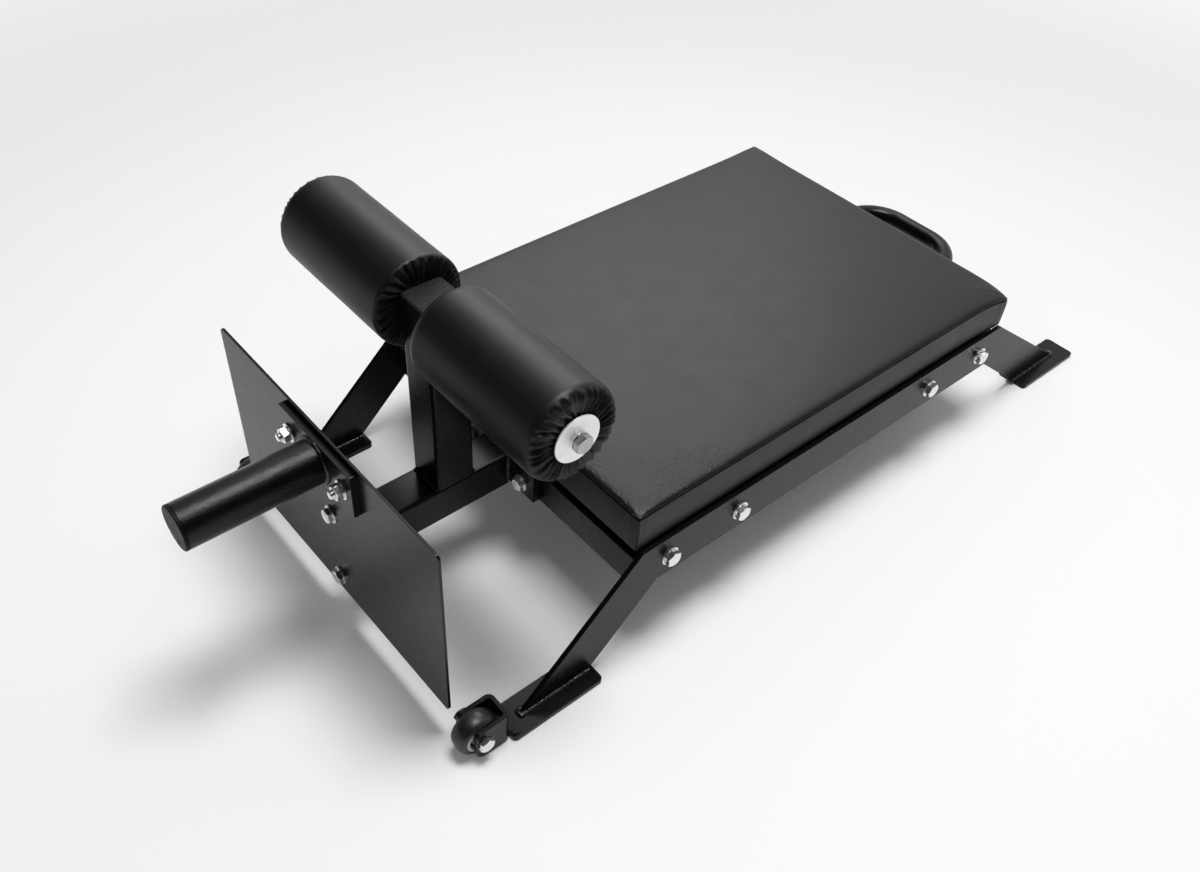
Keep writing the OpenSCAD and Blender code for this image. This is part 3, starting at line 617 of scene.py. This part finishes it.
# Wheels: round tyres on hubs whose rims are flush with them
TYRE_HALF, TYRE_FOOT, TYRE_RADIUS, TYRE_STEPS = 12.5, 19.2, 26.2, 32
TREAD_ROUNDNESS = 0.85
TYRE_BEAD = [(18.5, -11.8), (18.9, -12.4)]
HUB_HALF = [(7.0, 12.5), (9.6, 12.5), (10.0, 12.1), (10.2, 4.4), (10.6, 4.0), (13.8, 4.0),
            (14.2, 4.4), (14.4, 11.6), (15.0, 12.3), (17.8, 12.3), (18.4, 11.7)]


def tyre_profile():
    tread = []
    for i in range(TYRE_STEPS + 1):
        slant = math.pi * (i / TYRE_STEPS - 0.5)
        rise = max(0.0, math.cos(slant)) ** TREAD_ROUNDNESS
        tread.append((TYRE_FOOT + (TYRE_RADIUS - TYRE_FOOT) * rise, TYRE_HALF * math.sin(slant)))
    return TYRE_BEAD + tread + [(r, -y) for r, y in TYRE_BEAD[::-1]]


for side_name, s in SIDES:
    wheel_middle = (WHEEL_X, s * WHEEL_Y, WHEEL_Z)
    lathe(f"{side_name}_tyre_looks", tyre_profile(), wheel_middle, RUBBER,
          f"{side_name}_wheel", f"{side_name}_tyre")
    lathe(f"{side_name}_hub_looks", both_ends(HUB_HALF), wheel_middle, NYLON,
          f"{side_name}_wheel", f"{side_name}_wheel_hub")

# Weld beads
BEAD_STEP, BEAD_SIDES, CIRCLE_STEPS = 0.85, 10, 40
RIPPLE_PITCH, RIPPLE, WOBBLE, WOBBLE_SCALE = 3.4, 0.14, 0.22, 0.23
ASKEW = Vector((0.31, 0.29, 0.9))  # a direction that no bead runs in
FOOT_BEAD, TUBE_BEAD, FORK_BEAD, HANDLE_BEAD = 3.0, 2.6, 2.2, 2.0  # radii
LEG_HALF = 3.4  # just off the faces of a leg
FOOT_TOP, FRONT_FOOT, REAR_FOOT = 6.2, (-161.0, -64.0), (767.0, 872.0)
FORK_BACK = -183.6
BRACKET_BACK, FLANGE_FRONT = -219.6, -12.4  # just off the plates at the spine's two ends
SPINE_LOW, SPINE_HIGH = 96.4, 146.8  # just off the spine's lower and upper faces
SPINE_SIDE, SPINE_FLAT = 25.2, 23.0  # just off its sides, and half of a bead across them


def sweep(shape, path, radius, closed=False, seed=0):
    """A rippled bead along a path of points in millimetres."""
    points = []
    count = len(path)
    for i in range(count if closed else count - 1):
        a, b = Vector(path[i]), Vector(path[(i + 1) % count])
        steps = max(1, round((b - a).length / BEAD_STEP))
        points += [a.lerp(b, s / steps) for s in range(steps)]
    if not closed:
        points.append(Vector(path[-1]))
    rings, run, total = [], 0.0, len(points)
    for i, p in enumerate(points):
        before = points[i - 1] if i or closed else p
        after = points[(i + 1) % total] if i < total - 1 or closed else p
        tangent = (after - before).normalized()
        run += (p - before).length
        side = tangent.cross(ASKEW).normalized()
        up = side.cross(tangent)
        wobble = noise.noise(p * WOBBLE_SCALE + Vector((seed, 0, 0)))
        scale = 1 + RIPPLE * abs(math.sin(math.pi * run / RIPPLE_PITCH)) + WOBBLE * wobble
        if not closed:
            scale *= min(1.0, 0.35 + 0.35 * min(i, total - 1 - i))
        ring = []
        for k in range(BEAD_SIDES):
            angle = FULL_TURN * k / BEAD_SIDES
            offset = (side * math.cos(angle) + up * math.sin(angle)) * radius * scale
            ring.append(P(*(p + offset)))
        rings.append(ring)
    shape.rings(rings, loop=closed)


def circle_path(centre, radius):
    """Points round a tube that runs along X."""
    at = frame_on(Vector((0, 0, 0)), BACKWARD)
    return [Vector(centre) + at(radius, FULL_TURN * i / CIRCLE_STEPS, 0) / MM
            for i in range(CIRCLE_STEPS)]


def weld_beads():
    shape = Builder()
    for side in SIGNS:
        out, inn = side * (LEG_MIDDLE + LEG_HALF), side * (LEG_MIDDLE - LEG_HALF)
        for x0, x1 in (FRONT_FOOT, REAR_FOOT):
            loop = [(x0, out, FOOT_TOP), (x1, out, FOOT_TOP), (x1, inn, FOOT_TOP),
                    (x0, inn, FOOT_TOP)]
            sweep(shape, loop, FOOT_BEAD, closed=True, seed=x0)
        web = side * WHEEL_Y
        sweep(shape, [(FORK_BACK, web - 15.0, 6.0), (FORK_BACK, web + 15.0, 6.0)], TUBE_BEAD,
              seed=4)
        for z in (9.0, 4.2):
            ends = [(FORK_BACK, web + side * 17.0, z), (-174.0, web + side * 21.5, 0.5 * z + 1.2)]
            sweep(shape, ends, FORK_BEAD, seed=z)
        for x, low, seed in ((FLANGE_FRONT, 106.0, 5), (BRACKET_BACK, 98.0, 6)):
            ends = [(x, side * SPINE_SIDE, low), (x, side * SPINE_SIDE, 145.0)]
            sweep(shape, ends, TUBE_BEAD, seed=seed)
        sweep(shape, circle_path((665.3, side * HANDLE_Y, HANDLE_Z), 13.0), HANDLE_BEAD,
              closed=True, seed=7 + side)
    across = [(x, SPINE_HIGH, x) for x in (POST_X - SPINE_HALF - 0.3, POST_X + SPINE_HALF + 0.3)]
    across += [(BRACKET_BACK, z, z) for z in (SPINE_LOW, SPINE_HIGH)]
    for x, z, seed in across:
        sweep(shape, [(x, -SPINE_FLAT, z), (x, SPINE_FLAT, z)], TUBE_BEAD, seed=seed)
    sweep(shape, circle_path((-239.4, 0, HORN_Z), 25.4), TUBE_BEAD, closed=True, seed=9)
    make("weld_beads", shape.verts, shape.faces, WELD_PAINT)


weld_beads()

# Roller covers: a tight vinyl tube, gathered at both ends round the axle
PLEATS, PLEAT_DEPTH, COVER_STEPS = 31, 4.8, 460
SHALLOW_PLEATS = 0.35  # share of the depth at the right roller's inner end
FOLD_DEPTHS, FOLD_SHIFTS = (0.45, 1.0), (-0.32, 0.32)
FOLDS_END, FOLDS_END_SOONER = (0.24, 0.74), 0.4  # shares of the shoulder; sooner on a wide one
END_SWELL, COVER_WAVES, FOLD_WANDER = 1.9, 0.22, 1.6
COVER_OPENING, COVER_DISH, COVER_GAP = 20.0, 2.6, 0.4
OUTER_SHOULDER = 13.0
INNER_SHOULDER = {"left": 8.0, "right": 15.0}
COVER_SEED = {"left": 3, "right": 11}
COVER_THICKNESS = 0.0009  # in metres
TUBE_START = 14.0  # length of the finely divided start of the tube
FACE_ROWS, SHOULDER_ROWS, START_ROWS, TUBE_ROWS = 16, 18, 8, 14


def smooth_step(low, high, value):
    t = min(1.0, max(0.0, (value - low) / (high - low)))
    return t * t * (3 - 2 * t)


def cover_profile(inner_shoulder):
    """(radius, distance along the axle, share of gathering) from the inner end to the outer."""
    rows = []
    for end, shoulder in ((ROLLER_START, inner_shoulder), (ROLLER_END, OUTER_SHOULDER)):
        part = []
        inward = 1 if end == ROLLER_START else -1
        flat = ROLLER_RADIUS - shoulder
        sooner = FOLDS_END_SOONER if shoulder > OUTER_SHOULDER else 0.0
        for i in range(FACE_ROWS):  # end face, from the opening out
            t = i / FACE_ROWS
            radius = COVER_OPENING + (flat - COVER_OPENING) * t
            dish = COVER_DISH * (1 - t) ** 2
            part.append((radius, end + inward * (dish + COVER_GAP), 0.6 + 0.4 * t))
        for i in range(SHOULDER_ROWS + 1):  # rounded shoulder
            a = QUARTER * i / SHOULDER_ROWS
            part.append((flat + shoulder * math.sin(a),
                         end + inward * (COVER_GAP + shoulder * (1 - math.cos(a))),
                         1.0 - smooth_step(*FOLDS_END, i / SHOULDER_ROWS + sooner)))
        for i in range(1, START_ROWS + 1):  # the start of the tube
            along = COVER_GAP + shoulder + TUBE_START * i / START_ROWS
            part.append((ROLLER_RADIUS, end + inward * along, 0.0))
        rows += part if inward > 0 else part[::-1]
        if inward > 0:
            first = part[-1][1]
            last = ROLLER_END - COVER_GAP - OUTER_SHOULDER - TUBE_START
            rows += [(ROLLER_RADIUS, first + (last - first) * i / TUBE_ROWS, 0.0)
                     for i in range(1, TUBE_ROWS)]
    return rows


def noise_round(angle, size, level):
    """Noise that closes on itself round the axle."""
    return noise.noise(Vector((math.cos(angle) * size, math.sin(angle) * size, level)))


class Pleats:
    """The folds at one end of a cover, each with its own depth and place."""

    def __init__(self, depth, shift):
        self.depth, self.shift = depth, shift

    def fold(self, lobe):
        """Depth of the fold, from 0 to 1, at a place that counts the folds round the axle."""
        depth, shift = self.depth, self.shift
        k = int(lobe) % PLEATS
        after = (k + 1) % PLEATS
        f = lobe - int(lobe)
        low, high = shift[k], 1 + shift[after]
        g = (f - low) / (high - low)
        if g < 0:
            g, k = (f + 1 - shift[k - 1]) / (1 + low - shift[k - 1]), k - 1
        elif g > 1:
            g, k = (f - high) / (1 + shift[(after + 1) % PLEATS] - shift[after]), after
        g = min(1.0, max(0.0, g))
        # steep folds with thin crests, and a half fold here and there
        deepest = 0.6 + 0.4 * (depth[k] * (1 - g) + depth[(k + 1) % PLEATS] * g)
        fold = (1 - abs(2 * g - 1)) ** 1.15 * deepest
        if depth[k] > 0.8:
            fold -= 0.45 * max(0.0, 1 - abs(g - 0.5) * 7.0)
        return fold


def roller_cover(side, sign):
    seed = COVER_SEED[side]
    rng = random.Random(seed)
    rows = cover_profile(INNER_SHOULDER[side])
    depth = [[rng.uniform(*FOLD_DEPTHS) for _ in range(PLEATS)] for _ in range(2)]
    shift = [[rng.uniform(*FOLD_SHIFTS) for _ in range(PLEATS)] for _ in range(2)]
    pleats = [Pleats(*both) for both in zip(depth, shift)]
    middle = (ROLLER_START + ROLLER_END) / 2
    verts = []
    for r, (radius, along, gather) in enumerate(rows):
        before, after = rows[max(0, r - 1)], rows[min(len(rows) - 1, r + 1)]
        tangent = Vector((after[0] - before[0], after[1] - before[1])).normalized()
        normal = Vector((tangent.y, -tangent.x))
        end = 0 if along < middle else 1
        pleat_depth = PLEAT_DEPTH * (SHALLOW_PLEATS if side == "right" and not end else 1.0)
        deep = 1 - radius / ROLLER_RADIUS
        for i in range(COVER_STEPS):
            turn = i / COVER_STEPS
            angle = FULL_TURN * turn
            bend = noise_round(angle, 2.3, deep * 2.5 + seed + end)
            wander = noise_round(angle, 1.3, seed + 7.0 + end)
            lobe = ((turn + 1.0) * PLEATS + (0.5 + FOLD_WANDER * bend) * deep
                    + FOLD_WANDER * wander)
            waves = COVER_WAVES * noise_round(angle, 1.6, along * 0.013 + seed)
            push = gather * (END_SWELL * end - pleat_depth * pleats[end].fold(lobe)) + waves
            rad = radius + normal.x * push
            verts.append(P(POST_X + rad * math.cos(angle), sign * (along + normal.y * push),
                           AXLE_Z + rad * math.sin(angle)))
    obj = make(f"{side}_roller_vinyl", verts, skin(len(rows), COVER_STEPS), ROLLER_VINYL,
               f"{side}_roller", (f"{side}_roller_cover",), 62.0)
    thick = obj.modifiers.new("thickness", "SOLIDIFY")
    thick.thickness = COVER_THICKNESS
    thick.offset = -1.0


for side_name, s in SIDES:
    roller_cover(side_name, s)

# Foam under the covers, cut back at its ends where the folds go in
FOAM_HALF = [(17.1, 96.0), (30.0, 93.5), (41.0, 91.5), (47.0, 87.5), (50.8, 80.0), (52.4, 70.0)]
for side_name, s in SIDES:
    lathe(f"{side_name}_foam_looks", both_ends(FOAM_HALF),
          (POST_X, s * (ROLLER_START + ROLLER_END) / 2, AXLE_Z), FOAM,
          f"{side_name}_roller", f"{side_name}_roller_foam")

# Knee pad: a tight vinyl cover with a seam round the top and one up each corner
PAD_CORNER, CORNER_STEPS = 2.6, 10
PAD_BOW = 0.6
PAD_HALF_X, PAD_HALF_Y = PAD_LENGTH / 2 - PAD_BOW, PAD_WIDTH / 2 - PAD_BOW
INNER_X, INNER_Y = PAD_HALF_X - PAD_CORNER, PAD_HALF_Y - PAD_CORNER
FINE, COARSE, FINE_REACH = 1.5, 4.0, 60.0
UNDERSIDE, UNDERSIDE_GAP = (60.0, 30.0, 12.0), 0.15  # insets of its rows
# Shares of the height of the rows up the side, then (inset, share) over the seam
BAND = (0.0, 0.012, 0.03, 0.06, 0.1, 0.16, 0.24, 0.34, 0.44, 0.54, 0.64, 0.73, 0.8, 0.86, 0.9,
        0.93, 0.95, 0.96, 0.967, 0.972)
SEAM = ((0.8, 0.975), (2.4, 0.98), (2.6, 1.0), (1.0, 1.008), (0.2, 1.02), (0.0, 1.04))
TOP_START, TOP_STEP, TOP_GROWTH = 0.5, 0.6, 1.09  # insets of the rows on the top
TOP_FINE, TOP_COARSE, TOP_FINE_REACH = 1.6, 9.0, 70.0
SEAM_DIP, DIP_REACH = 7.5, 26.0
REAR_PULL, PULL_REACH = 2.4, 45.0
EDGE_RISE, ROLL_RISE, CROWN_RISE, RISE_BLEND = 2.3, 3.4, 2.4, 1.4
CORNER_RISE, SLOPE_RISE, SLOPE_REACH = 1.2, 14.0, 30.0
FOAM_WAVES, CORNER_FAN, EDGE_CREASES, CREASED_EDGE = 0.28, 0.07, 0.55, 60.0
SIDE_BELLY, FOOT_TUCK, SEAM_TUCK, SIDE_WAVES = 0.8, 1.2, 0.4, 0.35


def pad_outline():
    """Points round the pad, about its middle: ("corner", centre x, centre y, angle) and
    ("side", x, y, (outward direction, share of the side))."""
    points = []

    def corner(cx, cy, start):
        for i in range(CORNER_STEPS):
            points.append(("corner", cx, cy, start + QUARTER * i / CORNER_STEPS))

    def side(x0, y0, x1, y1, out):
        length, d = math.hypot(x1 - x0, y1 - y0), 0.0
        while d < length - 0.5:  # points stand close together near the corners
            t = d / length
            points.append(("side", x0 + (x1 - x0) * t, y0 + (y1 - y0) * t, (out, t)))
            far = min(1.0, max(0.0, min(d, length - d) - FINE_REACH) / FINE_REACH)
            d += FINE + (COARSE - FINE) * far
    corner(INNER_X, INNER_Y, 0.0)
    side(INNER_X, INNER_Y, -INNER_X, INNER_Y, (0, 1))
    corner(-INNER_X, INNER_Y, QUARTER)
    side(-INNER_X, INNER_Y, -INNER_X, -INNER_Y, (-1, 0))
    corner(-INNER_X, -INNER_Y, math.pi)
    side(-INNER_X, -INNER_Y, INNER_X, -INNER_Y, (0, -1))
    corner(INNER_X, -INNER_Y, 3 * QUARTER)
    side(INNER_X, -INNER_Y, INNER_X, INNER_Y, (1, 0))
    return points


def pad_ring(outline, inset):
    """The outline set in by a distance, in millimetres about the pad's middle."""
    ring = []
    radius = max(0.4, PAD_CORNER - inset)
    moved = inset - PAD_CORNER + radius
    shrink_x, shrink_y = (INNER_X - moved) / INNER_X, (INNER_Y - moved) / INNER_Y
    for kind, x, y, extra in outline:
        px, py = x * shrink_x, y * shrink_y
        if kind == "corner":
            ring.append((px + radius * math.cos(extra), py + radius * math.sin(extra)))
        else:
            (ox, oy), t = extra
            bow = PAD_BOW * (1 - (2 * t - 1) ** 2) * max(0.0, 1 - inset / 60.0)
            ring.append((px + ox * (radius + bow), py + oy * (radius + bow)))
    return ring


def pad_rows():
    """(kind, inset, share of the height) of each row of points, from the underside to the top."""
    rows = [("low", inset, 0.0) for inset in UNDERSIDE]
    rows += [("band", 0.0, share) for share in BAND]
    rows += [("seam", inset, share) for inset, share in SEAM]
    inset, step = TOP_START, TOP_STEP
    while inset < PAD_HALF_Y - 1.0:
        rows.append(("top", inset, 0.0))
        inset += step
        step = min(step * TOP_GROWTH, TOP_FINE if inset < TOP_FINE_REACH else TOP_COARSE)
    return rows + [("top", PAD_HALF_Y - 0.6, 0.0)]


def fade(distance, reach, power=1.0):
    """1 at a distance of 0, falling to near nothing some way past the reach."""
    return math.exp(-((distance / reach) ** power))


def corner_dip(x, y):
    """How far the seam hangs at the rear right corner, where the cover pulls it down."""
    return SEAM_DIP * fade(math.hypot(x - PAD_LENGTH / 2, y + PAD_WIDTH / 2), DIP_REACH, 1.5)


def top_rise(x, y, inset, near):
    """Height of the top over the seam: a rolled edge and a crown, held down at the corners, with
    waves, pulls and small creases."""
    roll = ROLL_RISE * (1 - fade(inset - TOP_START, 2.6))
    crown = CROWN_RISE * (1 - fade(inset, 38.0))
    slope = CORNER_RISE + SLOPE_RISE * (1 - fade(near, SLOPE_REACH, 1.1))
    # the lower of the two, with a soft change from one to the other
    rise = -RISE_BLEND * math.log(math.exp(-(EDGE_RISE + roll + crown) / RISE_BLEND)
                                  + math.exp(-slope / RISE_BLEND))
    # slow waves of the foam, and pulls that run from the corners
    waves = noise.noise(Vector((x * 0.012, y * 0.012, 3.7)))
    rise += FOAM_WAVES * waves * min(1.0, inset / 25.0)
    angle = math.atan2(PAD_WIDTH / 2 - abs(y), PAD_LENGTH / 2 - abs(x))
    fan = math.sin(angle * 26.0 + 2.0 * noise.noise(Vector((x * 0.05, y * 0.05, 1.0))))
    rise += CORNER_FAN * fan * fade(near - 18.0, 14.0, 2)
    if abs(y) > PAD_WIDTH / 2 - CREASED_EDGE:
        gather = noise.noise(Vector((x * 0.30, inset * 0.035, 8.0 if y < 0 else 2.0)))
        patch = max(0.0, noise.noise(Vector((x * 0.011, y * 0.013, 5.5))) + 0.12)
        rise += EDGE_CREASES * gather * patch * fade(inset - 11.0, 9.0, 2)
    return rise


def band_push(x, y, share, near, form, extra):
    """How far the side stands out, as (x, y): tucked in at its foot and at the seam, with a
    belly between them, and pulled in at the seams that go up the corners."""
    tuck = FOOT_TUCK * fade(share, 0.03) + SEAM_TUCK * fade(1 - share, 0.05)
    belly = SIDE_BELLY * math.sin(math.pi * min(1.0, share)) ** 0.7
    wave = SIDE_WAVES * noise.noise(Vector((x * 0.014, y * 0.014, share * 2.2 + 9.0)))
    push = belly - tuck + wave + 0.1
    if form == "corner":
        ox, oy = math.cos(extra), math.sin(extra)
        seam = abs(extra % QUARTER - QUARTER / 2)
        push -= 0.9 * max(0.0, 1 - seam / 0.25) ** 0.8 - 0.3
    else:
        (ox, oy), _ = extra
        push += 0.55 * fade(near - 12.0, 6.0, 2)
    return ox * push, oy * push


def pad_cover():
    outline, rings = pad_outline(), []
    for kind, inset, share in pad_rows():
        ring = []
        for (x, y), (form, _, _, extra) in zip(pad_ring(outline, inset), outline):
            near = math.hypot(PAD_LENGTH / 2 - abs(x), PAD_WIDTH / 2 - abs(y))
            dip = corner_dip(x, y)
            pull = REAR_PULL * fade(near, PULL_REACH, 2) if x > 0 else 0.0
            px, py = x + pull, y + math.copysign(pull, y)
            if kind == "low":
                z = PAD_BASE - UNDERSIDE_GAP
            elif kind == "top":
                z = PAD_SEAM + top_rise(x, y, inset, near) - dip * fade(inset, 22.0)
            else:
                z = PAD_BASE + share * (PAD_SEAM - PAD_BASE - dip * share)
            if kind == "band":
                dx, dy = band_push(x, y, share, near, form, extra)
                px, py = px + dx, py + dy
            ring.append(P(px + PAD_LENGTH / 2, py, z))
        rings.append(ring)
    shape = Builder()
    shape.rings(rings)
    obj = make("pad_vinyl", shape.verts, shape.faces, VINYL, "frame",
               ("pad_cushion",), 50.0)


pad_cover()

# Floor, light and world
BACKDROP = 0.95
FLOOR_HALF = 14.0
FLOOR_MIRRORED = 0.5
FLOOR_BLEND = (1.0, 2.5)  # the floor turns white between these distances
BRIGHT_SIDE = Vector((0.85, 0.35, 0.40)).normalized()
# Ramps of the world's light: from low, from high, to low, to high
GLOSS_RAMP = (0.30, 0.95, 0.01, 0.95)  # for gloss, towards the bright side
DIFFUSE_RAMP = (0.0, 0.75, 0.95, 0.20)  # for diffuse light, from the horizon up
MIRRORED_UP = (0.02, 0.11, 1.0, 0.0)  # the backdrop's foot in mirrors, from the horizon up
MIRRORED_SIDE = (-0.45, 0.30, 0.12, 1.0)  # the same, towards the bright side
KEY = {"place": (0.14, -0.15, 3.0), "target": (0.0, -0.05, 0.1), "size": (1.0, 1.2),
       "power": 72.0}
BACK = {"place": (0.85, 1.0, 1.6), "target": (0.0, 0.0, 0.2), "size": (1.3, 1.1), "power": 18.0}


def floor_material():
    """Pale floor that keeps the shadow near the bench and turns into the white backdrop further
    out, for the camera and, in part, for mirrors."""
    g = Surface("floor")
    g.fill(g.shader, Base_Color=tones(g, 0.6, 5.0, grey(0.905), grey(0.915)),
           Roughness=g.clouds(3.6, 4.0, 0.78, 0.92), Specular_IOR_Level=0.1,
           Normal=g.bump(g.noise(60.0), 0.0002, 0.1))
    away = g.ramp(g.measure("LENGTH", g.coord), *FLOOR_BLEND)
    glow = g.add("ShaderNodeEmission")
    g.fill(glow, Color=grey(1.0), Strength=BACKDROP)
    blend = g.add("ShaderNodeMixShader")
    share = g.math("MULTIPLY", g.seen(FLOOR_MIRRORED), away)
    for socket, value in zip(blend.inputs, (share, g.shader.outputs[0], glow.outputs[0])):
        g.put(value, socket)
    g.put(blend.outputs[0], g.out.inputs[0])
    return g.material


def floor():
    mesh = bpy.data.meshes.new("floor")
    far = FLOOR_HALF
    mesh.from_pydata([(-far, -far, 0), (far, -far, 0), (far, far, 0), (-far, far, 0)], [],
                     [(0, 1, 2, 3)])
    obj = bpy.data.objects.new("floor", mesh)
    bpy.context.scene.collection.objects.link(obj)
    dress(obj, floor_material())
    obj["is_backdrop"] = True


def studio_world():
    """Soft studio: for gloss, bright behind the bench and dim elsewhere; for diffuse light,
    bright low down and dim overhead; for the camera, the white backdrop."""
    world = bpy.data.worlds.new("studio")
    world.use_nodes = True
    g = Graph(world.node_tree, "Generated")
    facing = g.measure("DOT_PRODUCT", g.coord, BRIGHT_SIDE)
    height = g.height()
    gloss = g.ramp(facing, *GLOSS_RAMP)
    diffuse = g.ramp(height, *DIFFUSE_RAMP, smooth=False)
    is_diffuse = g.add("ShaderNodeLightPath").outputs["Is Diffuse Ray"]
    light = g.mix(is_diffuse, gloss, diffuse, colours=False)
    # the white backdrop: all round for the camera, and its foot for mirrors and glass
    foot = g.ramp(height, *MIRRORED_UP)
    side = g.ramp(facing, *MIRRORED_SIDE, smooth=False)
    white = g.seen(g.math("MULTIPLY", foot, side))
    g.fill(world.node_tree.nodes["Background"], Color=grey(1.0),
           Strength=g.mix(white, light, BACKDROP, colours=False))
    bpy.context.scene.world = world


def area(name, place, target, size, power):
    light = bpy.data.lights.new(name, "AREA")
    light.shape = "RECTANGLE"
    light.size, light.size_y = size
    light.energy = power
    obj = bpy.data.objects.new(name, light)
    obj.location = place
    obj.rotation_euler = (Vector(target) - Vector(place)).to_track_quat("-Z", "Y").to_euler()
    bpy.context.scene.collection.objects.link(obj)
    return obj


floor()
studio_world()
area("key", **KEY)
# a soft sheet behind the bench that only gives the gloss its long highlights
area("back", **BACK).visible_diffuse = False
bpy.context.scene.view_settings.view_transform = "Standard"

boxes = {"cad": CAD_BOX, "visual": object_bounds()}
{k: [list(corner) for corner in v] for k, v in boxes.items()}
